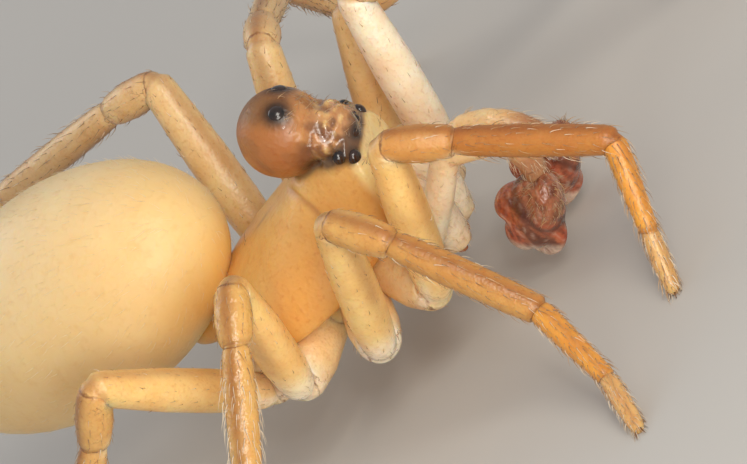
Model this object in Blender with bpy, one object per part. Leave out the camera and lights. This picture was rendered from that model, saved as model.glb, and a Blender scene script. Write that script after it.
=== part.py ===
"""A dwarf money spider with a pumpkin-shaped head lobe, standing, at life size.

Lengths are in millimetres while the pieces are made. The last step turns the finished
meshes into metres. Places on the animal are given as (right, forward, up), with up
counted from the level of the leg roots, and the animal faces -Y.
"""
import math

import bmesh
import bpy
import numpy as np
from mathutils import Matrix, Vector

METRES = 0.001
STAND = 0.285            # height of the leg roots above the floor
GAP = 0.006              # clearance kept between neighbouring pieces
LEG_SIDES = 12
BODY_SIDES = 28

# Head and carapace
LOBE_RADIUS = 0.126
LOBE_CENTRE = (0.0, 0.173, 0.480)
SADDLE_CENTRE = (0.0, 0.250, 0.425)
SADDLE_HALF = (0.100, 0.120, 0.072)
SADDLE_TILT = math.radians(32.0)
# Stations of the carapace from rear to front: forward, half width, top, margin, underside
CARAPACE = (
    (-0.405, 0.070, 0.150, 0.105, 0.070),
    (-0.370, 0.165, 0.185, 0.095, 0.045),
    (-0.280, 0.250, 0.225, 0.085, 0.035),
    (-0.150, 0.288, 0.270, 0.080, 0.030),
    (0.000, 0.272, 0.320, 0.085, 0.030),
    (0.110, 0.225, 0.365, 0.100, 0.035),
    (0.200, 0.185, 0.400, 0.130, 0.060),
    (0.280, 0.160, 0.412, 0.190, 0.120),
    (0.325, 0.140, 0.392, 0.260, 0.190),
    (0.345, 0.100, 0.360, 0.290, 0.225),
)

# Abdomen
ABDOMEN_CENTRE = (-0.100, -0.750, 0.362)
ABDOMEN_HALF = (0.325, 0.570, 0.330)
ABDOMEN_SWING = math.radians(11.0)
ABDOMEN_DROOP = math.radians(6.0)

# Leg joints: root, knee, end of patella, end of tibia, end of metatarsus, claw
LEGS = {
    "right_1": ((0.272, 0.278, -0.050), (0.262, 0.517, 0.412), (0.262, 0.675, 0.301),
                (0.355, 1.065, 0.077), (0.506, 1.013, -0.133), (0.605, 0.975, -0.285)),
    "right_2": ((0.350, 0.070, -0.055), (0.456, 0.339, 0.416), (0.541, 0.473, 0.306),
                (0.716, 0.726, -0.024), (0.930, 0.840, -0.190), (1.110, 0.890, -0.285)),
    "right_3": ((0.338, -0.205, -0.022), (0.431, -0.043, 0.409), (0.581, -0.078, 0.338),
                (0.858, -0.194, 0.140), (0.987, -0.316, -0.101), (1.110, -0.413, -0.285)),
    "right_4": ((0.275, -0.325, -0.010), (0.529, -0.514, 0.450), (0.541, -0.646, 0.314),
                (0.631, -1.017, 0.002), (0.689, -1.359, -0.188), (0.706, -1.600, -0.285)),
    "left_1": ((-0.272, 0.278, -0.050), (-0.400, 0.402, 0.487), (-0.455, 0.540, 0.455),
               (-0.560, 0.905, 0.215), (-0.655, 1.090, -0.055), (-0.730, 1.215, -0.285)),
    "left_2": ((-0.350, 0.070, -0.055), (-0.560, 0.255, 0.368), (-0.700, 0.360, 0.280),
               (-0.950, 0.620, 0.020), (-1.120, 0.800, -0.160), (-1.240, 0.930, -0.285)),
    "left_3": ((-0.338, -0.205, -0.022), (-0.570, -0.020, 0.425), (-0.720, -0.060, 0.400),
               (-1.050, -0.140, 0.290), (-1.250, -0.190, 0.000), (-1.270, -0.225, -0.285)),
    "left_4": ((-0.275, -0.325, -0.010), (-0.612, -0.369, 0.494), (-0.655, -0.555, 0.480),
               (-0.766, -1.071, 0.390), (-0.830, -1.330, 0.060), (-0.860, -1.450, -0.285)),
}

# Palp joints (knee, elbow, wrist) and the middle of the bulb
PALP = {
    "right": ((0.120, 0.535, 0.202), (0.105, 0.700, 0.125), (0.108, 0.682, 0.008), (0.125, 0.590, -0.095)),
    "left": ((0.112, 0.480, 0.115), (0.100, 0.585, 0.080), (0.094, 0.645, -0.035), (0.090, 0.596, -0.127)),
}
BULB_HANG = (0.050, -0.220, -0.200)

# Leg segments: share of the length, radius
FEMUR = ((0.0, 0.046), (0.25, 0.060), (0.6, 0.060), (1.0, 0.049))
PATELLA = ((0.0, 0.046), (0.5, 0.054), (1.0, 0.042))
TIBIA = ((0.0, 0.040), (0.35, 0.046), (1.0, 0.041))
METATARSUS = ((0.0, 0.035), (0.3, 0.033), (1.0, 0.026))
TARSUS = ((0.0, 0.026), (0.5, 0.027), (1.0, 0.018))
COXA = ((0.0, 0.070), (0.6, 0.074), (1.0, 0.056))
COXA_ROOT = {"1": (0.120, 0.140, 0.000), "2": (0.150, 0.030, 0.000),
             "3": (0.150, -0.110, 0.000), "4": (0.110, -0.230, 0.000)}

# Colours: linear red, green, blue
COLOURS = {
    "carapace": (0.75, 0.45, 0.14), "lobe": (0.38, 0.15, 0.05), "eye": (0.01, 0.01, 0.01),
    "abdomen": (0.80, 0.62, 0.33), "leg": (0.80, 0.53, 0.22), "tibia": (0.65, 0.28, 0.06),
    "mouth": (0.80, 0.62, 0.40), "bulb": (0.30, 0.09, 0.04),
}


def place(point):
    """Turn (right, forward, up) on the animal into a point of the model."""
    return Vector((-point[0], -point[1], point[2] + STAND))


def clearScene():
    for item in list(bpy.data.objects):
        bpy.data.objects.remove(item, do_unlink=True)


def material(name):
    found = bpy.data.materials.get(name)
    if found:
        return found
    made = bpy.data.materials.new(name)
    made.use_nodes = True
    shader = made.node_tree.nodes["Principled BSDF"]
    shader.inputs["Base Color"].default_value = (*COLOURS[name], 1.0)
    shader.inputs["Roughness"].default_value = 0.35
    shader.inputs["Metallic"].default_value = 0.0
    return made


def meshObject(name, mesh, colour, home):
    thing = bpy.data.objects.new(name, mesh)
    home.objects.link(thing)
    mesh.materials.clear()
    mesh.materials.append(material(colour))
    return thing


def faceOutward(shape):
    bmesh.ops.recalc_face_normals(shape, faces=shape.faces)
    if shape.calc_volume(signed=True) < 0.0:
        bmesh.ops.reverse_faces(shape, faces=shape.faces)


def fromBmesh(name, shape, colour, home):
    faceOutward(shape)
    mesh = bpy.data.meshes.new(name)
    shape.to_mesh(mesh)
    shape.free()
    mesh.shade_smooth()
    return meshObject(name, mesh, colour, home)


def loft(rings):
    """Join rings of equal counts by quads and close both ends."""
    shape = bmesh.new()
    rows = [[shape.verts.new(point) for point in ring] for ring in rings]
    count = len(rows[0])
    for lower, upper in zip(rows, rows[1:]):
        for i in range(count):
            j = (i + 1) % count
            shape.faces.new((lower[i], lower[j], upper[j], upper[i]))
    shape.faces.new(list(reversed(rows[0])))
    shape.faces.new(rows[-1])
    return shape


def ellipsoid(centre, radii, turn=None, sides=BODY_SIDES, rings=18):
    """A ball with its own radii to the right, forward and up."""
    shape = bmesh.new()
    bmesh.ops.create_uvsphere(shape, u_segments=sides, v_segments=rings, radius=1.0)
    size = Matrix.Diagonal((radii[0], radii[1], radii[2], 1.0))
    spin = (turn or Matrix.Identity(3)).to_4x4()
    shape.transform(Matrix.Translation(place(centre)) @ spin @ size)
    return shape


def pointing(direction):
    """Turn the upright axis toward a direction given as (right, forward, up)."""
    way = Vector((-direction[0], -direction[1], direction[2]))
    return way.to_track_quat("Z", "Y").to_matrix()


def bentBar(points, radii, sides=LEG_SIDES):
    """One round bar through several points, with its own radius at each."""
    spots = [place(point) for point in points]
    count = len(spots)
    rings = []
    side = None
    for i, spot in enumerate(spots):
        way = (spots[min(i + 1, count - 1)] - spots[max(i - 1, 0)]).normalized()
        side = way.orthogonal() if side is None else side - way * side.dot(way)
        side.normalize()
        across = way.cross(side)
        ring = []
        for k in range(sides):
            angle = 2.0 * math.pi * k / sides
            ring.append(spot + (side * math.cos(angle) + across * math.sin(angle)) * radii[i])
        rings.append(ring)
    return loft(rings)


def capsule(start, end, profile, sides=LEG_SIDES, capRings=2):
    """A round bar from start to end, thick as the profile says, with round ends."""
    base = place(start)
    tip = place(end)
    axis = tip - base
    length = axis.length
    axis.normalize()
    spots = [t for t, _ in profile]
    sizes = [r for _, r in profile]
    steps = []
    for i in range(capRings):
        angle = math.radians(90.0 - 90.0 * (i + 0.35) / capRings)
        steps.append((-sizes[0] * math.sin(angle), sizes[0] * math.cos(angle)))
    for t in (0.0, 0.3, 0.65, 1.0):
        steps.append((float(t) * length, float(np.interp(t, spots, sizes))))
    for i in reversed(range(capRings)):
        angle = math.radians(90.0 - 90.0 * (i + 0.35) / capRings)
        steps.append((length + sizes[-1] * math.sin(angle), sizes[-1] * math.cos(angle)))
    side = axis.orthogonal().normalized()
    across = axis.cross(side)
    rings = []
    for along, radius in steps:
        ring = []
        for i in range(sides):
            angle = 2.0 * math.pi * i / sides
            ring.append(base + axis * along + (side * math.cos(angle) + across * math.sin(angle)) * radius)
        rings.append(ring)
    return loft(rings)


def applyModifiers(thing):
    """Replace an object's mesh with its evaluated mesh."""
    graph = bpy.context.evaluated_depsgraph_get()
    fresh = bpy.data.meshes.new_from_object(thing.evaluated_get(graph))
    thing.modifiers.clear()
    thing.data = fresh


def keepLargest(thing):
    """Drop every closed surface but the largest."""
    shape = bmesh.new()
    shape.from_mesh(thing.data)
    left = set(shape.verts)
    groups = []
    while left:
        stack = [left.pop()]
        group = set(stack)
        while stack:
            for edge in stack.pop().link_edges:
                for vert in edge.verts:
                    if vert in left:
                        left.discard(vert)
                        group.add(vert)
                        stack.append(vert)
        groups.append(group)
    if len(groups) > 1:
        groups.sort(key=len)
        loose = [vert for group in groups[:-1] for vert in group]
        bmesh.ops.delete(shape, geom=loose, context="VERTS")
        shape.to_mesh(thing.data)
    shape.free()


def fuse(name, shapes, colour, home):
    """Join closed shapes into one object by one union."""
    whole = fromBmesh(name, shapes[0], colour, home)
    if len(shapes) > 1:
        extra = bpy.data.collections.new(name + "_pieces")
        bpy.context.scene.collection.children.link(extra)
        for i, shape in enumerate(shapes[1:]):
            fromBmesh(name + "_piece_" + str(i), shape, colour, extra)
        join = whole.modifiers.new("join", "BOOLEAN")
        join.operation = "UNION"
        join.operand_type = "COLLECTION"
        join.collection = extra
        join.solver = "MANIFOLD"
        applyModifiers(whole)
        for piece in list(extra.objects):
            bpy.data.objects.remove(piece, do_unlink=True)
        bpy.data.collections.remove(extra)
        keepLargest(whole)
    return whole


def carve(thing, neighbours, cutters):
    """Cut from a piece the room that its neighbours take, with the clearance round them."""
    for other in neighbours:
        swollen = other.data.copy()
        normals = [v.normal.copy() for v in swollen.vertices]
        for vert, normal in zip(swollen.vertices, normals):
            vert.co += normal * GAP
        tool = meshObject("room_for_" + other.name, swollen, "leg", cutters)
        tool.hide_render = True
        tool.display_type = "WIRE"
        cut = thing.modifiers.new("cut", "BOOLEAN")
        cut.operation = "DIFFERENCE"
        cut.object = tool
        cut.solver = "MANIFOLD"
        applyModifiers(thing)
        bpy.data.objects.remove(tool, do_unlink=True)
    keepLargest(thing)


def sliceOff(thing, point, normal):
    """Keep the side of a plane that the normal points away from, and close the cut."""
    shape = bmesh.new()
    shape.from_mesh(thing.data)
    geometry = list(shape.verts) + list(shape.edges) + list(shape.faces)
    cut = bmesh.ops.bisect_plane(shape, geom=geometry, dist=1e-6, plane_co=point,
                                 plane_no=normal, clear_outer=True)
    rim = [item for item in cut["geom_cut"] if isinstance(item, bmesh.types.BMEdge)]
    bmesh.ops.contextual_create(shape, geom=rim)
    faceOutward(shape)
    shape.to_mesh(thing.data)
    shape.free()
    keepLargest(thing)


def jointPlane(before, joint, after):
    """Middle plane of the bend at a joint, as a point and a normal that points onward."""
    spot = place(joint)
    inward = (spot - place(before)).normalized()
    onward = (place(after) - spot).normalized()
    return spot, (inward + onward).normalized()


def makeLeg(name, joints, home):
    root, knee, patella, tibia, metatarsus, claw = joints
    side = -1.0 if name.startswith("left") else 1.0
    socket = COXA_ROOT[name[-1]]
    socket = (socket[0] * side, socket[1], socket[2])
    upper = fuse("leg_" + name + "_femur", [
        capsule(socket, root, COXA),
        capsule(root, knee, FEMUR)], "leg", home)
    middle = fuse("leg_" + name + "_tibia", [
        capsule(knee, patella, PATELLA), capsule(patella, tibia, TIBIA)], "tibia", home)
    lower = fuse("leg_" + name + "_foot", [
        capsule(tibia, metatarsus, METATARSUS), capsule(metatarsus, claw, TARSUS)], "leg", home)
    for first, second, bend in ((upper, middle, (root, knee, patella)),
                                (middle, lower, (patella, tibia, metatarsus))):
        spot, normal = jointPlane(*bend)
        sliceOff(first, spot - normal * GAP / 2.0, normal)
        sliceOff(second, spot + normal * GAP / 2.0, -normal)
    sliceOff(lower, Vector((0.0, 0.0, 0.0)), Vector((0.0, 0.0, -1.0)))
    return upper, middle, lower


def makeCarapace(home):
    stations = np.array(CARAPACE)
    spots = np.linspace(0.0, len(stations) - 1.0, 22)
    rings = []
    for spot in spots:
        row = [np.interp(spot, np.arange(len(stations)), stations[:, k]) for k in range(5)]
        forward, half, top, margin, under = [float(value) for value in row]
        ring = []
        for i in range(BODY_SIDES):
            angle = 2.0 * math.pi * i / BODY_SIDES
            across = half * math.cos(angle)
            lift = math.sin(angle)
            rise = (top - margin) * lift if lift > 0.0 else (margin - under) * lift
            ring.append(place((across, forward, margin + rise)))
        rings.append(ring)
    return fromBmesh("carapace", loft(rings), "carapace", home)


def makeEyes(home):
    eyes = []
    right, forward, up = LOBE_CENTRE
    for side, word in ((1.0, "right"), (-1.0, "left")):
        lean = (side * 0.43, 0.55, 0.72)
        reach = LOBE_RADIUS * 0.93
        spot = (right + lean[0] * reach, forward + lean[1] * reach, up + lean[2] * reach)
        eyes.append(("eye_rear_middle_" + word, spot, 0.028))
        eyes.append(("eye_front_middle_" + word, (side * 0.026, 0.342, 0.372), 0.020))
        eyes.append(("eye_front_side_" + word, (side * 0.098, 0.327, 0.345), 0.023))
        eyes.append(("eye_rear_side_" + word, (side * 0.112, 0.300, 0.378), 0.023))
    return [fromBmesh(name, ellipsoid(spot, (size, size, size), sides=14, rings=8), "eye", home)
            for name, spot, size in eyes]


def makeAbdomen(swing, home):
    """An egg: a ball drawn out along its length, a little fuller in front of the middle."""
    half, length, height = ABDOMEN_HALF
    rings = []
    for turn in np.linspace(0.06, math.pi - 0.06, 22):
        along = -math.cos(turn)
        girth = math.sin(turn) * (1.0 - 0.05 * along)
        ring = []
        for i in range(BODY_SIDES + 4):
            angle = 2.0 * math.pi * i / (BODY_SIDES + 4)
            flat = 0.94 if math.sin(angle) < 0.0 else 1.0
            offset = Vector((half * girth * math.cos(angle), length * along,
                             height * girth * flat * math.sin(angle)))
            ring.append(place(ABDOMEN_CENTRE) + swing @ offset)
        rings.append(ring)
    return fromBmesh("abdomen", loft(rings), "abdomen", home)


def onAbdomen(swing, offset):
    """A place given from the middle of the abdomen along its own axes, as (right, forward, up)."""
    spot = place(ABDOMEN_CENTRE) + swing @ Vector(offset)
    return (-spot.x, -spot.y, spot.z - STAND)


def makePalp(word, side, home):
    """The limb up to its hairy end piece, and the bulb that hangs from it."""
    def at(right, forward, up):
        return (right * side, forward, up)

    knee, elbow, wrist, centre = [at(*point) for point in PALP[word]]
    hang = at(*BULB_HANG)

    def onBulb(right, forward, up):
        return tuple(centre[k] + at(right, forward, up)[k] for k in range(3))

    hood = onBulb(0.020, 0.045, 0.012)
    limb = fuse("palp_" + word, [
        capsule(at(0.115, 0.230, -0.010), at(0.130, 0.290, 0.000), ((0.0, 0.045), (1.0, 0.036))),
        capsule(at(0.130, 0.290, 0.000), knee, ((0.0, 0.034), (0.5, 0.045), (1.0, 0.038))),
        capsule(knee, elbow, ((0.0, 0.038), (1.0, 0.038))),
        capsule(elbow, wrist, ((0.0, 0.036), (1.0, 0.050))),
        ellipsoid(hood, (0.064, 0.050, 0.095), pointing(hang), sides=14, rings=10),
    ], "mouth", home)
    bulb = fuse("palp_bulb_" + word, [
        ellipsoid(centre, (0.082, 0.086, 0.118), pointing(hang), sides=16, rings=12),
        ellipsoid(onBulb(0.010, -0.068, -0.030), (0.052, 0.050, 0.058), sides=12, rings=8),
        ellipsoid(onBulb(-0.010, -0.028, 0.052), (0.058, 0.062, 0.050), sides=12, rings=8),
        bentBar([onBulb(0.004, 0.020, -0.050), onBulb(0.022, 0.004, -0.084), onBulb(0.026, -0.020, -0.108),
                 onBulb(0.012, -0.055, -0.122), onBulb(-0.006, -0.085, -0.112), onBulb(-0.018, -0.106, -0.090)],
                (0.030, 0.030, 0.027, 0.022, 0.016, 0.009), sides=9),
    ], "bulb", home)
    return limb, bulb


def makeModel():
    clearScene()
    home = bpy.data.collections.new("peponocranium_spider")
    cutters = bpy.data.collections.new("cutters")
    for group in (home, cutters):
        bpy.context.scene.collection.children.link(group)

    eyes = makeEyes(home)
    lobe = fuse("head_lobe", [
        ellipsoid(LOBE_CENTRE, (LOBE_RADIUS, LOBE_RADIUS, LOBE_RADIUS)),
        ellipsoid(SADDLE_CENTRE, SADDLE_HALF, Matrix.Rotation(SADDLE_TILT, 3, "X"), sides=24, rings=14),
    ], "lobe", home)
    carve(lobe, eyes, cutters)
    carapace = makeCarapace(home)
    carve(carapace, eyes + [lobe], cutters)

    swing = Matrix.Rotation(-ABDOMEN_SWING, 3, "Z") @ Matrix.Rotation(-ABDOMEN_DROOP, 3, "X")
    abdomen = makeAbdomen(swing, home)
    carve(abdomen, [carapace], cutters)
    pedicel = fromBmesh("pedicel", capsule((0.0, -0.360, 0.090), (-0.030, -0.500, 0.095),
                                           ((0.0, 0.048), (1.0, 0.048))), "carapace", home)
    carve(pedicel, [carapace, abdomen], cutters)
    spinnerets = []
    for side in (-1.0, 1.0):
        start = onAbdomen(swing, (side * 0.034, 0.500, -0.085))
        end = onAbdomen(swing, (side * 0.040, 0.612, -0.125))
        spinnerets.append(capsule(start, end, ((0.0, 0.034), (1.0, 0.022))))
    above = onAbdomen(swing, (0.0, 0.575, -0.062))
    spinnerets.append(ellipsoid(above, (0.026, 0.030, 0.024), sides=12, rings=8))
    spinnerets = fuse("spinnerets", spinnerets, "leg", home)
    carve(spinnerets, [abdomen], cutters)

    uppers = []
    for name, joints in LEGS.items():
        upper, middle, lower = makeLeg(name, joints, home)
        carve(upper, [carapace] + uppers, cutters)
        uppers.append(upper)
    shield = ellipsoid((0.0, -0.070, 0.010), (0.200, 0.240, 0.075), sides=22, rings=12)
    sternum = fromBmesh("sternum", shield, "mouth", home)
    carve(sternum, [carapace] + uppers, cutters)

    lip = fuse("lip_and_jaw_lobes", [
        ellipsoid((0.0, 0.190, 0.000), (0.055, 0.060, 0.040), sides=14, rings=10),
        ellipsoid((0.085, 0.235, -0.030), (0.050, 0.075, 0.050), sides=14, rings=10),
        ellipsoid((-0.085, 0.235, -0.030), (0.050, 0.075, 0.050), sides=14, rings=10),
    ], "mouth", home)
    carve(lip, [carapace, sternum] + uppers, cutters)

    jaws = []
    for word, side in (("right", 1.0), ("left", -1.0)):
        jaw = fuse("chelicera_" + word, [
            capsule((side * 0.070, 0.300, 0.200), (side * 0.066, 0.340, 0.050), ((0.0, 0.056), (1.0, 0.066))),
            capsule((side * 0.066, 0.340, 0.050), (side * 0.058, 0.300, -0.090), ((0.0, 0.066), (1.0, 0.040))),
        ], "mouth", home)
        carve(jaw, [carapace, sternum, lip] + jaws + uppers, cutters)
        jaws.append(jaw)
    for word, side in (("right", 1.0), ("left", -1.0)):
        limb, bulb = makePalp(word, side, home)
        carve(limb, [carapace, sternum, lip] + jaws + uppers, cutters)
        carve(bulb, [limb], cutters)

    finish(home)


def finish(home):
    """Set the model with its box's bottom centre on the origin, in metres."""
    corners = []
    for thing in home.objects:
        corners += [vert.co for vert in thing.data.vertices]
    low = [min(corner[k] for corner in corners) for k in range(3)]
    high = [max(corner[k] for corner in corners) for k in range(3)]
    shift = Matrix.Translation((-(low[0] + high[0]) / 2.0, -(low[1] + high[1]) / 2.0, -low[2]))
    for thing in home.objects:
        thing.data.transform(Matrix.Scale(METRES, 4) @ shift)
        thing.data.update()


makeModel()
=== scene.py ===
import math

import bpy
import numpy as np
from mathutils import Matrix, Vector


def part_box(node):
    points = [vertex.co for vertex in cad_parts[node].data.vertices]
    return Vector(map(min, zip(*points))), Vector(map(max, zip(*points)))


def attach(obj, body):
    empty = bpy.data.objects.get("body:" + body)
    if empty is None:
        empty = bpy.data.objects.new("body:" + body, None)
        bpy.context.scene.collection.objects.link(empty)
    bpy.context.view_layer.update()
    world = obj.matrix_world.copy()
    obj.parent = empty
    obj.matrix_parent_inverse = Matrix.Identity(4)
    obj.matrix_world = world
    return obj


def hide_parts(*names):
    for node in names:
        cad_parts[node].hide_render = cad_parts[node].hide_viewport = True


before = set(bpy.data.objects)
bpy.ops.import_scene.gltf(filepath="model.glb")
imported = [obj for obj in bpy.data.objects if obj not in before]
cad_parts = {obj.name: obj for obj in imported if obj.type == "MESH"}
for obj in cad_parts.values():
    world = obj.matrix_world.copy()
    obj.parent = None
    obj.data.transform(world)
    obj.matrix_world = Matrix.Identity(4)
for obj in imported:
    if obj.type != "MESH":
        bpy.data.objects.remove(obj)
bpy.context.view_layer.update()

body = {
    "millimetre": 0.001,
    "stand": 0.285,               # the leg roots' height above the floor
    "lobeCentre": (0.0, 0.173, 0.480),    # as a fit to the picture gave it
    "lobeRadius": 0.126,
    "seed": 41,
}
rng = np.random.default_rng(body["seed"])


def onModel(points):
    # (right, forward, up) becomes (-right, -forward, up + stand), before the model's own shift
    points = np.asarray(points, float)
    return np.stack([-points[..., 0], -points[..., 1], points[..., 2] + body["stand"]], -1)


def unit(vectors):
    # each vector divided by its own length
    vectors = np.asarray(vectors, float)
    return vectors / np.maximum(np.linalg.norm(vectors, axis=-1, keepdims=True), 1e-12)


# The upper right eye tells where the solids put the animal
eyeLean = np.array((0.43, 0.55, 0.72))
eyeSpot = np.array(body["lobeCentre"]) + eyeLean * body["lobeRadius"] * 0.93
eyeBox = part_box("eye_rear_middle_right")
eyeMiddle = np.array((eyeBox[0] + eyeBox[1]) / 2.0) / body["millimetre"]
modelShift = eyeMiddle - onModel(eyeSpot)


def toMetres(points):
    # the place on the model, shifted to the solids' own place, in metres
    return (onModel(points) + modelShift) * body["millimetre"]


def onSide(points, side):
    # places given for the right side, mirrored to the left where side is -1
    return np.asarray(points, float) * (side, 1.0, 1.0)


def roundAngles(count):
    # equal steps round a circle
    return np.linspace(0.0, 2.0 * math.pi, count, endpoint=False)


def atPlaces(table, places):
    # straight steps through a table of (place, value)
    return np.interp(places, *np.transpose(table))


def pathStops(points):
    # the length of the path up to each of its points
    steps = np.linalg.norm(np.diff(points, axis=0), axis=1)
    return np.concatenate([[0.0], np.cumsum(steps)])


def linked(name, data):
    # a new object with this data, put into the scene
    thing = bpy.data.objects.new(name, data)
    bpy.context.scene.collection.objects.link(thing)
    return thing


def readOut(items, key, kind, width=1):
    # one value, or one row of values, of every item as a flat array
    values = np.zeros(len(items) * width, kind)
    items.foreach_get(key, values)
    return values


def ease(x):
    # smooth step: 3x^2 - 2x^3 between 0 and 1
    x = np.clip(x, 0.0, 1.0)
    return x * x * (3.0 - 2.0 * x)


def tone(red, green, blue):
    # screen colour 0..255 to linear light
    c = np.array((red, green, blue), float) / 255.0
    return np.where(c <= 0.04045, c / 12.92, ((c + 0.055) / 1.055) ** 2.4)


def mixTone(a, b, share):
    # a + (b - a) * share for each point
    share = np.clip(np.asarray(share, float), 0.0, 1.0)[..., None]
    return np.asarray(a) * (1.0 - share) + np.asarray(b) * share


def gridFaces(rows, columns, offset=0):
    # quads between ring i and ring i+1, closed round the columns
    i = np.arange(rows - 1)[:, None] * columns
    j = np.arange(columns)[None, :]
    k = (j + 1) % columns
    quads = np.stack([i + j, i + k, i + columns + k, i + columns + j], -1)
    return quads.reshape(-1, 4) + offset


def facedOutward(points, quads, triangles):
    # the sum of p0 . (p1 x p2) over the faces is six times the volume;
    # where it is negative, the faces are turned
    fans = np.concatenate([quads[:, :3], quads[:, (0, 2, 3)], triangles])
    a, b, c = (points[fans[:, k]] - points.mean(0) for k in range(3))
    if (a * np.cross(b, c)).sum() < 0.0:
        return quads[:, ::-1], triangles[:, ::-1]
    return quads, triangles


class Shell:
    # points (n, 3), quads (m, 4), triangles (k, 3), tint (n, 3), gloss (n), paint (material number), and
    # marks: named values at each point that the materials read
    def __init__(self, points, quads, triangles, tint, gloss, paint, marks=None):
        self.points = points
        self.quads, self.triangles = facedOutward(points, quads, triangles)
        self.tint = np.broadcast_to(np.asarray(tint, float), points.shape).copy()
        self.gloss = np.broadcast_to(np.asarray(gloss, float), points.shape[:1]).copy()
        self.paint = paint
        self.marks = marks or {}


def withPoles(values):
    # the values of a grid of rows and columns, with the mean of the first and of the last row added
    flat = values.reshape(values.shape[0] * values.shape[1], *values.shape[2:])
    return np.concatenate([flat, values[0].mean(0)[None], values[-1].mean(0)[None]])


def closedGrid(rings, tint, gloss, paint, marks=None):
    # rings (rows, columns, 3): the grid wraps round its columns, and a pole point closes each end
    rows, columns = rings.shape[:2]
    count = rows * columns
    j = np.arange(columns)
    k = (j + 1) % columns
    first = np.stack([np.full(columns, count), k, j], -1)
    last = np.stack([np.full(columns, count + 1), count - columns + j, count - columns + k], -1)
    tint = np.asarray(tint, float)
    if tint.ndim == 3:
        tint = withPoles(np.broadcast_to(tint, rings.shape))
    gloss = np.asarray(gloss, float)
    if gloss.ndim == 2:
        gloss = withPoles(np.broadcast_to(gloss, rings.shape[:2]))
    marks = {name: withPoles(np.broadcast_to(values, rings.shape[:2]))
             for name, values in (marks or {}).items()}
    return Shell(withPoles(rings), gridFaces(rows, columns), np.concatenate([first, last]),
                 tint, gloss, paint, marks)


def turnTo(direction):
    # columns: side, front, axis, with the axis along the direction and the side toward the animal's right
    axis = unit(direction)
    right = np.array((1.0, 0.0, 0.0))
    side = unit(right - axis * np.dot(right, axis))
    return np.stack([side, np.cross(axis, side), axis], 1)


def ballRings(centre, radii, turn=None, rows=40, columns=56):
    # x = cos v * sin u, y = sin v * sin u, z = -cos u, stretched by the radii and turned
    u = np.linspace(0.02, math.pi - 0.02, rows)[:, None]
    v = roundAngles(columns)[None, :]
    shape = np.stack([np.cos(v) * np.sin(u), np.sin(v) * np.sin(u), -np.cos(u) + 0.0 * v], -1)
    shape = shape * np.asarray(radii)
    if turn is not None:
        shape = shape @ np.asarray(turn).T
    return shape + np.asarray(centre)


def smoothPath(points, width, count=900):
    # equal steps along the straight path, each averaged with its neighbours by a bell of that width
    points = np.asarray(points, float)
    stops = pathStops(points)
    along = np.linspace(0.0, stops[-1], count)
    raw = np.stack([np.interp(along, stops, points[:, k]) for k in range(3)], -1)
    step = along[1] - along[0]
    half = int(3 * width / step) + 1
    bell = np.exp(-0.5 * (np.arange(-half, half + 1) * step / width) ** 2)
    bell /= bell.sum()
    before = raw[0] + (np.arange(-half, 0)[:, None]) * (raw[1] - raw[0])
    after = raw[-1] + (np.arange(1, half + 1)[:, None]) * (raw[-1] - raw[-2])
    padded = np.concatenate([before, raw, after])
    smooth = np.stack([np.convolve(padded[:, k], bell, "valid") for k in range(3)], -1)
    return along, smooth, unit(np.gradient(smooth, axis=0))


def tube(points, lengths, radii, plane, width=0.018, columns=36):
    # a ring of the radius at each length along the rounded path: centre + r (cos v * side + sin v * back)
    along, smooth, tangent = smoothPath(points, width)
    centre = np.stack([np.interp(lengths, along, smooth[:, k]) for k in range(3)], -1)
    way = unit(np.stack([np.interp(lengths, along, tangent[:, k]) for k in range(3)], -1))
    side = unit(plane - way * (way @ plane)[:, None])
    back = np.cross(side, way)
    v = roundAngles(columns)[None, :, None]
    ring = side[:, None, :] * np.cos(v) + back[:, None, :] * np.sin(v)
    return centre[:, None, :] + ring * radii[:, None, None], centre, way, side, back


def rod(path, spots, radii, plane, width, columns, share=1.0):
    # the rings of a tube along this share of the path; spots count from 0 at its start to 1 at its end
    reach = np.linalg.norm(np.diff(path, axis=0), axis=1).sum()
    return tube(path, spots * reach * share, radii, np.array(plane), width, columns)[0]


markBlanks = {"seam": 0.0, "joint": 1.0, "near": 0.0}


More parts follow.
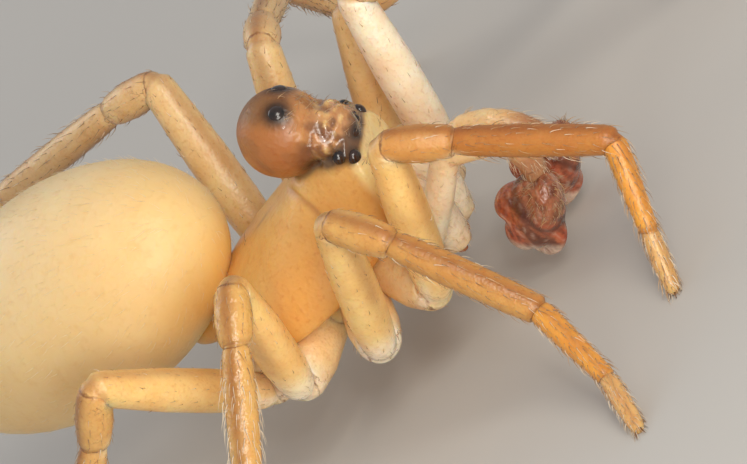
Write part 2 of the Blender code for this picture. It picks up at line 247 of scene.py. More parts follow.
def meshPiece(name, shells, materials):
    # all shells in one mesh, in metres, with each point's tint, gloss and marks as attributes
    starts = np.cumsum([0] + [len(shell.points) for shell in shells])
    points = np.concatenate([shell.points for shell in shells])
    quads = np.concatenate([shell.quads + start for shell, start in zip(shells, starts)])
    triangles = np.concatenate([shell.triangles + start for shell, start in zip(shells, starts)])
    places = toMetres(points)
    places[:, 2] = np.maximum(places[:, 2], 0.0)
    mesh = bpy.data.meshes.new(name)
    mesh.vertices.add(len(places))
    mesh.vertices.foreach_set("co", places.astype(np.float32).ravel())
    corners = np.concatenate([quads.ravel(), triangles.ravel()])
    mesh.loops.add(len(corners))
    mesh.loops.foreach_set("vertex_index", corners.astype(np.int32))
    mesh.polygons.add(len(quads) + len(triangles))
    firsts = np.concatenate([np.arange(len(quads)) * 4, len(quads) * 4 + np.arange(len(triangles)) * 3])
    mesh.polygons.foreach_set("loop_start", firsts.astype(np.int32))
    paint = np.concatenate([np.full(len(shell.quads), shell.paint) for shell in shells]
                           + [np.full(len(shell.triangles), shell.paint) for shell in shells])
    mesh.polygons.foreach_set("material_index", paint.astype(np.int32))
    mesh.update(calc_edges=True)
    mesh.validate()
    mesh.shade_smooth()
    tint = np.concatenate([shell.tint for shell in shells])
    tint = np.concatenate([tint, np.ones((len(tint), 1))], 1).astype(np.float32)
    mesh.attributes.new("tint", "FLOAT_COLOR", "POINT").data.foreach_set("color", tint.ravel())
    values = {"gloss": np.concatenate([shell.gloss for shell in shells])}
    for mark, blank in markBlanks.items():
        values[mark] = np.concatenate([
            shell.marks.get(mark, np.full(len(shell.points), blank)) for shell in shells])
    for key, numbers in values.items():
        mesh.attributes.new(key, "FLOAT", "POINT").data.foreach_set("value", numbers.astype(np.float32))
    for material in materials:
        mesh.materials.append(material)
    piece = linked(name, mesh)
    print(name, len(quads) * 2 + len(triangles), "triangles")
    return piece


def fusedShell(ringsList, voxel, rounds, tintOf, gloss, paint):
    # the closed grids melted into one surface by small cubes, then evened out by averaging
    # each point with its neighbours for some rounds; tintOf gives each point's colour and gloss its shine
    shells = [closedGrid(rings, (1.0, 1.0, 1.0), 0.5, 0) for rings in ringsList]
    points, faces, offset = [], [], 0
    for shell in shells:
        points.append(shell.points)
        faces += (shell.quads + offset).tolist() + (shell.triangles + offset).tolist()
        offset += len(shell.points)
    mesh = bpy.data.meshes.new("melt")
    mesh.from_pydata(np.concatenate(points).tolist(), [], faces)
    blob = linked("melt", mesh)
    cubes = blob.modifiers.new("cubes", "REMESH")
    cubes.mode = "VOXEL"
    cubes.voxel_size = voxel
    even = blob.modifiers.new("even", "SMOOTH")
    even.factor = 0.5
    even.iterations = rounds
    melted = bpy.data.meshes.new_from_object(blob.evaluated_get(bpy.context.evaluated_depsgraph_get()))
    bpy.data.objects.remove(blob, do_unlink=True)
    places = readOut(melted.vertices, "co", float, 3).reshape(-1, 3)
    totals = readOut(melted.polygons, "loop_total", np.int32)
    starts = readOut(melted.polygons, "loop_start", np.int32)
    corners = readOut(melted.loops, "vertex_index", np.int32)
    four = starts[totals == 4]
    three = starts[totals == 3]
    quads = corners[four[:, None] + np.arange(4)]
    triangles = corners[three[:, None] + np.arange(3)].reshape(-1, 3)
    bpy.data.meshes.remove(melted)
    shine = gloss(places) if callable(gloss) else gloss
    return Shell(places, quads, triangles, tintOf(places), shine, paint)


class Link:
    # one socket; the operators add Math nodes
    def __init__(self, shade, socket):
        self.shade = shade
        self.socket = socket

    def __add__(self, other):
        return self.shade.maths("ADD", self, other)

    def __radd__(self, other):
        return self.shade.maths("ADD", other, self)

    def __sub__(self, other):
        return self.shade.maths("SUBTRACT", self, other)

    def __rsub__(self, other):
        return self.shade.maths("SUBTRACT", other, self)

    def __mul__(self, other):
        return self.shade.maths("MULTIPLY", self, other)

    def __rmul__(self, other):
        return self.shade.maths("MULTIPLY", other, self)


class Shade:
    # a material under construction
    def __init__(self, name, values):
        self.material = bpy.data.materials.new(name)
        self.material.use_nodes = True
        self.tree = self.material.node_tree
        self.main = self.tree.nodes["Principled BSDF"]
        for socket, value in values.items():
            self.main.inputs[socket].default_value = value
        self.objectPlace = Link(self, self.add("ShaderNodeTexCoord").outputs["Object"])

    def add(self, kind, settings=None, sockets=None):
        made = self.tree.nodes.new(kind)
        for key, value in (settings or {}).items():
            if key == "stops":
                ramp = made.color_ramp
                while len(ramp.elements) > 1:
                    ramp.elements.remove(ramp.elements[-1])
                ramp.elements[0].position = value[0][0]
                ramp.elements[0].color = (*value[0][1], 1.0)
                for spot, colour in value[1:]:
                    ramp.elements.new(spot).color = (*colour, 1.0)
            else:
                setattr(made, key, value)
        for key, value in (sockets or {}).items():
            target = made.inputs[key]
            if isinstance(value, Link):
                self.tree.links.new(value.socket, target)
            else:
                target.default_value = value
        return made

    def get(self, kind, output, settings=None, sockets=None):
        return Link(self, self.add(kind, settings, sockets).outputs[output])

    def maths(self, operation, *values):
        return self.get("ShaderNodeMath", 0, {"operation": operation}, dict(enumerate(values)))

    def noise(self, scale, detail=3.0, rough=0.55, where=None):
        return self.get("ShaderNodeTexNoise", 0, {}, {
            "Vector": where or self.objectPlace, "Scale": scale, "Detail": detail, "Roughness": rough})

    def span(self, value, low, high, first=0.0, last=1.0):
        return self.get("ShaderNodeMapRange", 0, {"clamp": True}, {
            0: value, 1: low, 2: high, 3: first, 4: last})

    def blendColour(self, share, a, b, kind="MIX"):
        made = self.add("ShaderNodeMix", {"data_type": "RGBA", "blend_type": kind})
        for index, value in ((0, share), (6, a), (7, b)):
            if isinstance(value, Link):
                self.tree.links.new(value.socket, made.inputs[index])
            elif index == 0:
                made.inputs[0].default_value = value
            else:
                made.inputs[index].default_value = (*value, 1.0)
        return Link(self, made.outputs[2])

    def attribute(self, name, output="Color"):
        return self.get("ShaderNodeAttribute", output, {"attribute_name": name})

    def bump(self, height, distance, strength=1.0, under=None):
        sockets = {"Height": height, "Distance": distance, "Strength": strength}
        if under is not None:
            sockets["Normal"] = under
        return self.get("ShaderNodeBump", 0, {}, sockets)

    def feed(self, socket, value):
        self.tree.links.new(value.socket, self.main.inputs[socket])


perMetre = 1000.0    # scale of a pattern with one repeat to a millimetre
cuticleLines = {
    # how far a joint line wavers, and the gaps where it is full and where it ends, in millimetres
    "waver": 0.006, "lineEdge": (0.0004, 0.0028),
    # folds: repeats to a millimetre, and where each is full and where it ends, in the noise's own values
    "foldScale": 17.0, "foldEdge": (0.003, 0.014),
}


def cuticle(name, settings):
    # glossy cuticle: the tint of each point, clouded by slow noise, speckled by fine noise and dimpled;
    # a thin dark line where the joint mark nears 0, and a few wandering folds where the seam mark is high
    shade = Shade(name, {
        "Metallic": 0.0,
        "IOR": 1.5,
        "Subsurface Weight": settings["depth"],
        "Subsurface Radius": settings["reach"],
        "Subsurface Scale": settings["reachScale"],
        "Coat Roughness": settings["coatRough"],
        "Specular IOR Level": settings["specular"],
    })
    tint = shade.attribute("tint")
    gloss = shade.attribute("gloss", "Fac")
    clouds = shade.noise(settings["cloudScale"] * perMetre, 4.0, 0.6)
    grain = shade.noise(settings["grainScale"] * perMetre, 2.0, 0.5)
    lumps = shade.noise(settings["lumpScale"] * perMetre, 2.0, 0.5)
    darker = shade.blendColour(shade.span(clouds, 0.35, 0.7) * settings["cloudShare"], tint,
                               settings["cloudTone"], "MULTIPLY")
    speckled = shade.blendColour(shade.span(grain, 0.55, 0.75) * settings["grainShare"], darker,
                                 settings["grainTone"], "MULTIPLY")
    seam = shade.attribute("seam", "Fac")
    gap = shade.maths("ABSOLUTE", shade.attribute("joint", "Fac") + (grain - 0.5) * cuticleLines["waver"])
    line = shade.span(gap, *cuticleLines["lineEdge"], 1.0, 0.0) * shade.attribute("near", "Fac") \
        * shade.span(lumps, 0.36, 0.60, 0.25, 1.0)
    folds = shade.maths("ABSOLUTE", shade.noise(cuticleLines["foldScale"] * perMetre, 3.0, 0.55) - 0.5)
    fold = shade.span(folds, *cuticleLines["foldEdge"], 1.0, 0.0) * seam * shade.span(lumps, 0.46, 0.56)
    split = shade.maths("MAXIMUM", line * 0.8, fold * 0.7)
    shade.feed("Base Color", shade.blendColour(split, speckled, settings["lineTone"]))
    shade.feed("Roughness", shade.span(clouds, 0.2, 0.8, settings["rough"] - 0.06, settings["rough"] + 0.10)
               - gloss * settings["wetDrop"])
    shade.feed("Coat Weight", gloss * settings["coat"])
    cells = shade.get("ShaderNodeTexVoronoi", "Distance", {"feature": "SMOOTH_F1"}, {
        "Vector": shade.objectPlace, "Scale": settings["cellScale"] * perMetre, "Smoothness": 0.6})
    fine = shade.bump(cells * 0.6 + grain * 0.8 - split * 1.5, settings["relief"] * body["millimetre"])
    wetLumps = lumps * (gloss * 1.6 + 0.15)
    shade.feed("Normal", shade.bump(wetLumps, settings["lumpRelief"] * body["millimetre"], 1.0, fine))
    return shade.material


legFinish = {
    "depth": 0.55, "reach": (1.0, 0.58, 0.26), "reachScale": 0.00007,
    "coat": 0.25, "coatRough": 0.20, "rough": 0.42, "wetDrop": 0.24, "specular": 0.5,
    "cloudScale": 9.0, "cloudShare": 0.45, "cloudTone": tuple(tone(232, 190, 140)),
    "grainScale": 95.0, "grainShare": 0.35, "grainTone": tuple(tone(218, 180, 136)),
    "cellScale": 130.0, "relief": 0.0013, "lumpScale": 34.0, "lumpRelief": 0.0048,
    "lineTone": tuple(tone(120, 72, 36)),
}
carapaceFinish = {
    "depth": 0.55, "reach": (1.0, 0.52, 0.20), "reachScale": 0.00010,
    "coat": 1.0, "coatRough": 0.09, "rough": 0.46, "wetDrop": 0.34, "specular": 0.42,
    "cloudScale": 5.0, "cloudShare": 0.4, "cloudTone": tuple(tone(236, 190, 128)),
    "grainScale": 60.0, "grainShare": 0.32, "grainTone": tuple(tone(224, 180, 124)),
    "cellScale": 84.0, "relief": 0.0017, "lumpScale": 28.0, "lumpRelief": 0.0060,
    "lineTone": tuple(tone(130, 84, 44)),
}
abdomenFinish = {
    "depth": 0.80, "reach": (1.0, 0.70, 0.36), "reachScale": 0.00018,
    "coat": 0.25, "coatRough": 0.30, "rough": 0.50, "wetDrop": 0.22, "specular": 0.45,
    "cloudScale": 4.0, "cloudShare": 0.35, "cloudTone": tuple(tone(242, 218, 176)),
    "grainScale": 36.0, "grainShare": 0.20, "grainTone": tuple(tone(236, 210, 168)),
    "cellScale": 60.0, "relief": 0.0016, "lumpScale": 7.0, "lumpRelief": 0.0040,
    "lineTone": tuple(tone(186, 142, 88)),
}
bulbFinish = {
    "depth": 0.40, "reach": (1.0, 0.36, 0.20), "reachScale": 0.00006,
    "coat": 0.30, "coatRough": 0.12, "rough": 0.46, "wetDrop": 0.34, "specular": 0.5,
    "cloudScale": 18.0, "cloudShare": 0.7, "cloudTone": tuple(tone(164, 104, 84)),
    "grainScale": 80.0, "grainShare": 0.35, "grainTone": tuple(tone(170, 120, 100)),
    "cellScale": 64.0, "relief": 0.0034, "lumpScale": 30.0, "lumpRelief": 0.0100,
    "lineTone": tuple(tone(80, 36, 24)),
}
paints = {
    "leg": cuticle("legCuticle", legFinish),
    "carapace": cuticle("carapaceCuticle", carapaceFinish),
    "abdomen": cuticle("abdomenSkin", abdomenFinish),
    "bulb": cuticle("bulbCuticle", bulbFinish),
}
skinPaints = ["leg", "carapace", "abdomen"]
print("materials ready")


legs = {
    # root, knee, end of patella, end of tibia, end of metatarsus, claw; twelve of the right legs' joints
    # stand as a separate fit to the picture gave them, the others are moved from there or set one by one
    "right_1": ((0.272, 0.278, -0.050), (0.262, 0.517, 0.412), (0.262, 0.675, 0.301),
                (0.355, 1.065, 0.077), (0.506, 1.013, -0.133), (0.605, 0.975, -0.285)),
    "right_2": ((0.350, 0.070, -0.055), (0.456, 0.339, 0.416), (0.541, 0.473, 0.306),
                (0.716, 0.726, -0.024), (0.930, 0.840, -0.190), (1.110, 0.890, -0.285)),
    "right_3": ((0.338, -0.205, -0.022), (0.431, -0.043, 0.409), (0.581, -0.078, 0.338),
                (0.858, -0.194, 0.140), (0.987, -0.316, -0.101), (1.110, -0.413, -0.285)),
    "right_4": ((0.275, -0.325, -0.010), (0.529, -0.514, 0.450), (0.541, -0.646, 0.314),
                (0.631, -1.017, 0.002), (0.689, -1.359, -0.188), (0.706, -1.600, -0.285)),
    "left_1": ((-0.272, 0.278, -0.050), (-0.400, 0.402, 0.487), (-0.455, 0.540, 0.455),
               (-0.560, 0.905, 0.215), (-0.655, 1.090, -0.055), (-0.730, 1.215, -0.285)),
    "left_2": ((-0.350, 0.070, -0.055), (-0.560, 0.255, 0.368), (-0.700, 0.360, 0.280),
               (-0.950, 0.620, 0.020), (-1.120, 0.800, -0.160), (-1.240, 0.930, -0.285)),
    "left_3": ((-0.338, -0.205, -0.022), (-0.570, -0.020, 0.425), (-0.720, -0.060, 0.400),
               (-1.050, -0.140, 0.290), (-1.250, -0.190, 0.000), (-1.270, -0.225, -0.285)),
    "left_4": ((-0.275, -0.325, -0.010), (-0.612, -0.369, 0.494), (-0.655, -0.555, 0.480),
               (-0.766, -1.071, 0.390), (-0.830, -1.330, 0.060), (-0.860, -1.450, -0.285)),
}
legShape = {
    "sockets": {"1": (0.120, 0.140, 0.0), "2": (0.150, 0.030, 0.0),
                "3": (0.150, -0.110, 0.0), "4": (0.110, -0.230, 0.0)},
    # share of the segment, radius: coxa, femur, patella, tibia, metatarsus, tarsus
    "profiles": (
        ((0.0, 0.070), (0.6, 0.074), (0.92, 0.062), (1.0, 0.052)),
        ((0.0, 0.046), (0.08, 0.052), (0.3, 0.061), (0.6, 0.061), (0.9, 0.052), (1.0, 0.050)),
        ((0.0, 0.044), (0.2, 0.050), (0.55, 0.054), (0.9, 0.047), (1.0, 0.043)),
        ((0.0, 0.037), (0.12, 0.042), (0.4, 0.046), (0.8, 0.044), (1.0, 0.041)),
        ((0.0, 0.033), (0.1, 0.035), (0.4, 0.033), (1.0, 0.027)),
        ((0.0, 0.024), (0.1, 0.026), (0.5, 0.027), (0.85, 0.022), (1.0, 0.014))),
    "creaseDepth": 0.07, "creaseWidth": 0.008, "tipLength": 0.016,
    # how far tones and marks spread from a joint line, in millimetres; rim and membrane lie beside it
    "blend": 0.012, "rimAt": 0.010, "rimWidth": 0.010, "membraneAt": 0.006, "membraneWidth": 0.030,
    "seamWidth": 0.050, "nearWidth": 0.030, "footSheenAt": 0.018, "footSheenWidth": 0.058,
    "slant": 0.55,               # how far each joint line runs ahead on the back of the leg, in radii
    "columns": 34,
    # how strong the painted highlight on the foot of each femur is
    "footSheen": {"right_1": 0.7, "right_2": 1.0, "right_3": 0.9, "right_4": 0.7,
              "left_1": 0.8, "left_2": 0.6, "left_3": 0.6, "left_4": 0.6},
    # how much paler than the tones below each leg is; for left_2 this is partly painted light, lifting a leg
    # that lies in the shade of left_1
    "pale": {"right_1": 0.0, "right_2": 0.0, "right_3": 0.05, "right_4": 0.10,
             "left_1": 0.30, "left_2": 0.45, "left_3": 0.60, "left_4": 0.60},
    # how far the patella and tibia turn to straw
    "straw": {"right_1": 0.05, "right_2": 0.45, "right_3": 0.85, "right_4": 0.60,
              "left_1": 0.4, "left_2": 0.3, "left_3": 0.5, "left_4": 0.5},
    # how wet the patella and tibia look, and how far the painted highlight on the foot of the femur goes
    # round the leg
    "wet": {"right_1": -0.2, "right_3": 0.60},
    "round": {"right_1": 0.2, "right_2": 1.0, "right_3": 0.9, "right_4": 0.4},
}
legTones = {
    "coxa": tone(240, 204, 148), "femur": tone(249, 210, 136), "patella": tone(212, 157, 86),
    "tibia": tone(190, 124, 54), "metatarsus": tone(234, 168, 72), "tarsus": tone(226, 184, 120),
    # the rim tone darkens beside each joint line, and along the legs' back and belly it is painted shade
    "rim": tone(150, 90, 42), "membrane": tone(250, 226, 178), "claw": tone(86, 52, 30),
    # white paints the highlight on the foot of each femur, and whitens the femur of left_1
    "white": tone(255, 246, 228), "cream": tone(232, 207, 162), "straw": tone(230, 188, 112),
}


def legLengths():
    # rings lie close together near each joint: t = u - 0.11 sin(2 pi u) in every segment
    u = np.linspace(0.0, 1.0, 21)[:-1]
    t = u - 0.11 * np.sin(2.0 * math.pi * u)
    return np.concatenate([t + k for k in range(6)] + [[5.999]])


def legRadii(spots):
    # each segment's own profile, straight between its stated places
    radii = np.zeros_like(spots)
    for k, profile in enumerate(legShape["profiles"]):
        inside = (spots >= k) & (spots < k + 1)
        radii[inside] = atPlaces(profile, spots[inside] - k)
    return radii


allShells = []
legHairRoots = []
for number, (legName, joints) in enumerate(legs.items()):
    side = -1.0 if legName.startswith("left") else 1.0
    route = np.array([onSide(legShape["sockets"][legName[-1]], side), *joints])
    spots = legLengths()
    segment = np.minimum(spots.astype(int), 5)
    stops = pathStops(route)
    lengths = stops[segment] + (spots - segment) * (stops[segment + 1] - stops[segment])
    radii = legRadii(spots)
    crease = np.zeros_like(spots)
    for joint in range(1, 6):
        crease = np.maximum(crease, np.exp(-((lengths - stops[joint]) / legShape["creaseWidth"]) ** 2))
    radii = radii * (1.0 - legShape["creaseDepth"] * crease)
    tipOff = np.clip((stops[-1] - lengths) / legShape["tipLength"], 0.02, 1.0)
    radii = radii * np.sqrt(1.0 - (1.0 - tipOff) ** 2)
    plane = unit(np.cross(route[2] - route[1], route[6] - route[2]))
    rings, centre, way, across, back = tube(route, lengths, radii, plane, columns=legShape["columns"])
    v = roundAngles(legShape["columns"])
    upward = np.sign(back[(spots > 3.0) & (spots < 4.0), 2].mean())
    # 1 on the leg's back, -1 on its belly
    top = np.broadcast_to(np.sin(v)[None, :] * upward, rings.shape[:2])
    # distance to the nearest joint line, which slants forward toward the leg's back
    slanted = lengths[:, None] - legShape["slant"] * radii[:, None] * top * 0.5
    gaps = np.stack([slanted - stops[joint] for joint in range(1, 6)])
    nearest = np.abs(gaps).argmin(0)
    joint = np.take_along_axis(gaps, nearest[None], 0)[0]
    share = (spots - segment)[:, None]
    colours = np.array([legTones[n] for n in ("coxa", "femur", "patella", "tibia", "metatarsus", "tarsus")])
    before = colours[np.clip(nearest, 0, 5)]
    after = colours[np.clip(nearest + 1, 0, 5)]
    colour = mixTone(before, after, ease(joint / legShape["blend"] + 0.5))
    middle = ease((spots - 2.0) / 0.1) * ease((4.1 - spots) / 0.2)
    colour = mixTone(colour, legTones["straw"], legShape["straw"][legName] * middle[:, None])
    colour = mixTone(colour, legTones["cream"], legShape["pale"][legName])
    beside = np.exp(-((joint + legShape["rimAt"]) / legShape["rimWidth"]) ** 2)
    colour = mixTone(colour, legTones["rim"], 0.35 * beside)
    # painted shade: thin dark lines along each leg's back and belly stand in for the darker edges of the
    # translucent leg
    rim = np.abs(top) ** 10 * np.clip((spots - 1.1) / 0.4, 0.0, 1.0)[:, None]
    colour = mixTone(colour, legTones["rim"], (0.42 + 0.25 * middle[:, None]) * rim)
    beside = np.exp(-((joint - legShape["membraneAt"]) / legShape["membraneWidth"]) ** 2)
    soft = ease((0.25 - top) / 0.9) * beside * (nearest <= 2)
    colour = mixTone(colour, legTones["membrane"], 0.75 * soft)
    # the foot of each femur is painted white as a highlight, and made glossier
    flank = np.maximum(ease((0.6 - np.abs(top)) / 0.5), legShape["round"].get(legName, 0.3))
    foot = np.exp(-((lengths - stops[1] - legShape["footSheenAt"]) / legShape["footSheenWidth"]) ** 2)
    footSheen = legShape["footSheen"][legName] * foot[:, None] * flank
    colour = mixTone(colour, legTones["white"], 0.9 * footSheen)
    if legName == "left_1":
        colour = mixTone(colour, legTones["white"], 0.75 * (segment == 1)[:, None])
    seam = np.exp(-(joint / legShape["seamWidth"]) ** 2) * (nearest <= 2) * ease((0.75 - top) / 0.5)
    shine = 0.40 + 0.25 * ease(spots - 4.0)[:, None] + 0.60 * footSheen + 0.4 * soft \
        + legShape["wet"].get(legName, 0.0) * middle[:, None]
    allShells.append(closedGrid(rings, colour, np.clip(shine, 0.0, 1.0), 0, {
        "joint": joint, "seam": seam, "near": ease(2.0 * np.exp(-(joint / legShape["nearWidth"]) ** 2))}))
    legHairRoots.append((number, spots, centre, way, across, back * upward, radii))
print("legs laid", len(allShells))


carapace = {
    # rear to front: forward, half width, top, margin, underside
    "stations": ((-0.405, 0.070, 0.150, 0.105, 0.070), (-0.370, 0.165, 0.185, 0.095, 0.045),
                 (-0.280, 0.250, 0.225, 0.085, 0.035), (-0.150, 0.288, 0.270, 0.080, 0.030),
                 (0.000, 0.272, 0.320, 0.085, 0.030), (0.110, 0.225, 0.365, 0.100, 0.035),
                 (0.200, 0.185, 0.400, 0.130, 0.060), (0.280, 0.160, 0.412, 0.190, 0.120),
                 (0.325, 0.140, 0.392, 0.260, 0.190), (0.345, 0.100, 0.360, 0.290, 0.225)),
    "voxel": 0.0068,
    "rounds": 7,
}
lobe = {
    "saddleCentre": (0.0, 0.250, 0.425), "saddleHalf": (0.100, 0.120, 0.072), "saddleTilt": 32.0,
    "ridgeCentre": (0.0, 0.312, 0.366), "ridgeHalf": (0.122, 0.030, 0.040),
    # wet lumps on the saddle and beside each upper eye, set where glints fall; their pale tint is a painted
    # highlight
    "lumps": ((0.022, 0.322, 0.462), (0.010, 0.300, 0.476), (0.058, 0.274, 0.430),
              (0.074, 0.292, 0.414), (0.062, 0.240, 0.508), (0.040, 0.296, 0.452)),
    "lumpSize": 0.013, "lumpHeight": 0.008, "grainHeight": 0.0038, "grooveDepth": 0.005,
    "liftFrom": (0.0, 0.20, 0.28),      # relief is raised away from this place
}
# the groove behind the head on each side: where it starts (outward, forward), its way and its width
neck = {"start": (0.05, 0.078), "way": (0.849, 0.529), "width": 0.009}
# middle and size of the places that are tinted or wet
headPlaces = {
    "light": ((0.0, -0.10, 0.30), 0.20), "pit": ((0.0, -0.09, 0.29), (0.008, 0.045, 0.09)),
    "seat": ((0.0, 0.262, 0.425), (0.118, 0.110, 0.080)),
    "band": ((0.0, 0.330, 0.370), (0.135, 0.034, 0.028)),
    # painted shade in the hollow beside the globe
    "hollowShade": ((0.100, 0.230, 0.428), (0.026, 0.034, 0.034)),
    # the slits under the globe: partly the real slits, partly painted shadow
    "rearSlitShade": ((0.108, 0.212, 0.392), (0.030, 0.034, 0.022)),
    "frontSlitShade": ((0.098, 0.262, 0.372), (0.03, 0.03, 0.016)),
    "wetFront": ((0.0, 0.300, 0.390), (0.16, 0.10, 0.09)),
}
# how deep the lens is for its width, on the globe and in front; the front ones face away from one place
lensShape = {"onGlobe": 0.62, "inFront": 0.80, "sunk": 0.925, "from": (0.0, 0.20, 0.36)}
# place (right, forward, up) and radius; the rear middle pair sits on the globe instead
eyes = {"rear_middle": (None, 0.025), "front_middle": ((0.026, 0.340, 0.370), 0.018),
        "front_side": ((0.098, 0.325, 0.344), 0.021), "rear_side": ((0.111, 0.299, 0.376), 0.020)}
headTones = {
    "amber": tone(230, 176, 96), "light": tone(242, 200, 128), "brown": tone(160, 96, 54),
    "dusk": tone(94, 60, 40), "saddle": tone(196, 146, 96), "patch": tone(128, 84, 52),
    "dark": tone(46, 28, 18), "band": tone(98, 62, 38), "pale": tone(255, 226, 160),
}


def curveThrough(rows, spots):
    # each column follows a cubic through the rows: Catmull-Rom blend of four neighbours
    rows = np.asarray(rows, float)
    i = np.clip(np.floor(spots).astype(int), 0, len(rows) - 2)
    t = (spots - i)[:, None]
    at = [rows[np.clip(i + k, 0, len(rows) - 1)] for k in (-1, 0, 1, 2)]
    squared = 2.0 * at[0] - 5.0 * at[1] + 4.0 * at[2] - at[3]
    cubed = 3.0 * at[1] - at[0] - 3.0 * at[2] + at[3]
    return 0.5 * (2.0 * at[1] + (at[2] - at[0]) * t + squared * t ** 2 + cubed * t ** 3)


def carapaceRings(rows=70, columns=72):
    # half an ellipse over the margin and half a flatter one under it, along the stations
    spots = np.linspace(0.0, len(carapace["stations"]) - 1.0, rows)
    table = curveThrough(carapace["stations"], spots)
    v = roundAngles(columns)[None, :]
    lift = np.sin(v)
    rise = np.where(lift > 0.0, (table[:, 2] - table[:, 3])[:, None] * lift,
                    (table[:, 3] - table[:, 4])[:, None] * lift)
    across = table[:, 1][:, None] * np.cos(v)
    forward = np.repeat(table[:, 0][:, None], columns, 1)
    return np.stack([across, forward, table[:, 3][:, None] + rise], -1)[:, ::-1]


def near(points, centre, size):
    # 1 at the centre, falling as a bell with the distance over the size
    gap = (points - np.asarray(centre)) / np.asarray(size)
    return np.exp(-(gap ** 2).sum(-1))


def mottle(points, scale):
    # six plane waves in scattered directions added up: blotches mostly from -1 to 1
    ways = unit(np.random.default_rng(7).normal(0.0, 1.0, (6, 3))) * scale * np.linspace(0.6, 1.5, 6)[:, None]
    return np.cos(points @ ways.T + np.arange(6) * 1.7).sum(-1) / 3.0


def onSaddle(points):
    # 1 on the wet saddle between the globe and the front eyes, 0 away from it
    middle, size = np.array(headPlaces["seat"])
    seat = np.abs(points - middle) / size
    return ease((1.25 - np.linalg.norm(seat, axis=1)) / 0.35) * (points[:, 2] > 0.33)


def saddleGrains(points):
    # finer blotches, mostly from -1 to 1, taken across the first ones
    return mottle(points[:, ::-1], 165.0)


def neckGroove(points):
    # a bell over the distance to the line that runs outward and forward behind the head, on each side
    outward, forward = neck["way"]
    r, f = np.abs(points[:, 0]) - neck["start"][0], points[:, 1] - neck["start"][1]
    across = outward * f - forward * r
    along = outward * r + forward * f
    reach = ease((along + 0.04) / 0.05) * ease((0.19 - along) / 0.06)
    return np.exp(-(across / neck["width"]) ** 2) * reach * (points[:, 2] > 0.15)


def headTint(points):
    # amber carapace with faint rays from the pit, brown globe dusky on top, tan saddle with darker patches,
    # painted shade between the saddle's granules and painted highlight on their tops, dark band through the
    # front eyes, painted shade in the hollow beside the globe and round its foot, dark slit on each side
    # under the globe that is partly painted shadow, pale face whose top edge is partly a painted highlight
    mirrored = points * (-1.0, 1.0, 1.0)
    onLobe = (points - np.array(body["lobeCentre"])) / body["lobeRadius"]
    lobeGap = np.linalg.norm(onLobe, axis=1)
    tint = mixTone(headTones["amber"], headTones["light"], 0.7 * near(points, *headPlaces["light"]))
    turn = np.arctan2(points[:, 0], points[:, 1] + 0.10)
    away = np.hypot(points[:, 0], points[:, 1] + 0.10)
    rays = np.abs(np.cos(4.0 * turn)) ** 24 * ease((away - 0.05) / 0.1) * ease((0.30 - away) / 0.08)
    tint = mixTone(tint, headTones["brown"], 0.10 * rays)
    tint = mixTone(tint, headTones["brown"], 0.5 * near(points, *headPlaces["pit"]))
    wave = mottle(points, 75.0)
    grains = saddleGrains(points)
    spotted = mixTone(headTones["saddle"], headTones["patch"], 0.85 * ease((wave - 0.05) / 0.5))
    tint = mixTone(tint, spotted, onSaddle(points))
    # painted shade in the hollows between the saddle's raised granules, and painted highlight on their tops
    tint = mixTone(tint, headTones["patch"], 0.8 * onSaddle(points) * ease((-grains - 0.25) / 0.4))
    tint = mixTone(tint, headTones["pale"], 0.5 * onSaddle(points) * ease((grains - 0.55) / 0.4))
    tint = mixTone(tint, headTones["brown"], 0.45 * neckGroove(points))
    globe = ease((1.10 - lobeGap) / 0.14)
    dusky = ease((0.45 * onLobe[:, 1] + 0.65 * onLobe[:, 2] - 0.5 * np.abs(onLobe[:, 0]) - 0.10) / 0.38)
    brown = mixTone(headTones["brown"], headTones["dusk"], 0.85 * dusky)
    brown = mixTone(brown, headTones["dusk"], 0.25 * ease((wave - 0.1) / 0.6))
    tan = ease((0.719 * onLobe[:, 1] - 0.40 * onLobe[:, 2] - 0.22) / 0.30) * ease((onLobe[:, 2] + 0.45) / 0.3)
    front = mixTone(headTones["saddle"], headTones["patch"], 0.7 * ease((wave - 0.1) / 0.5))
    brown = mixTone(brown, front, 0.85 * tan)
    tint = mixTone(tint, brown, globe)
    band = near(points, *headPlaces["band"])
    tint = mixTone(tint, headTones["band"], np.clip(band * 3.0 - 0.30, 0.0, 0.92))
    for half in (points, mirrored):
        halo = near(half, eyeSpot, 0.040)
        for kind in ("front_middle", "front_side", "rear_side"):
            halo = np.maximum(halo, near(half, eyes[kind][0], 0.027))
        tint = mixTone(tint, headTones["dark"], np.clip(1.7 * halo - 0.2, 0.0, 0.9))
        # painted shade in the hollow beside the globe
        hollowShade = near(half, *headPlaces["hollowShade"])
        tint = mixTone(tint, headTones["patch"], np.clip(1.1 * hollowShade, 0.0, 0.75))
        # dark slit under the globe: partly the real slit, partly painted shadow under the globe and the
        # saddle's lower edge
        slitShade = near(half, *headPlaces["rearSlitShade"]) + near(half, *headPlaces["frontSlitShade"])
        tint = mixTone(tint, headTones["dark"], np.clip(1.2 * slitShade, 0.0, 0.8))
    # painted shade round the foot of the globe, where it meets the carapace
    globeFootShade = np.exp(-((lobeGap - 1.06) / 0.07) ** 2) \
        * ease((0.43 - points[:, 2]) / 0.05) * (points[:, 1] < 0.30)
    tint = mixTone(tint, headTones["dark"], 0.6 * globeFootShade)
    # pale face; its upper edge just under the front eyes is partly a painted highlight of the face's glint
    face = ease((points[:, 1] - 0.290) / 0.03) * ease((0.346 - points[:, 2]) / 0.02)
    return mixTone(tint, headTones["pale"], 0.85 * face)


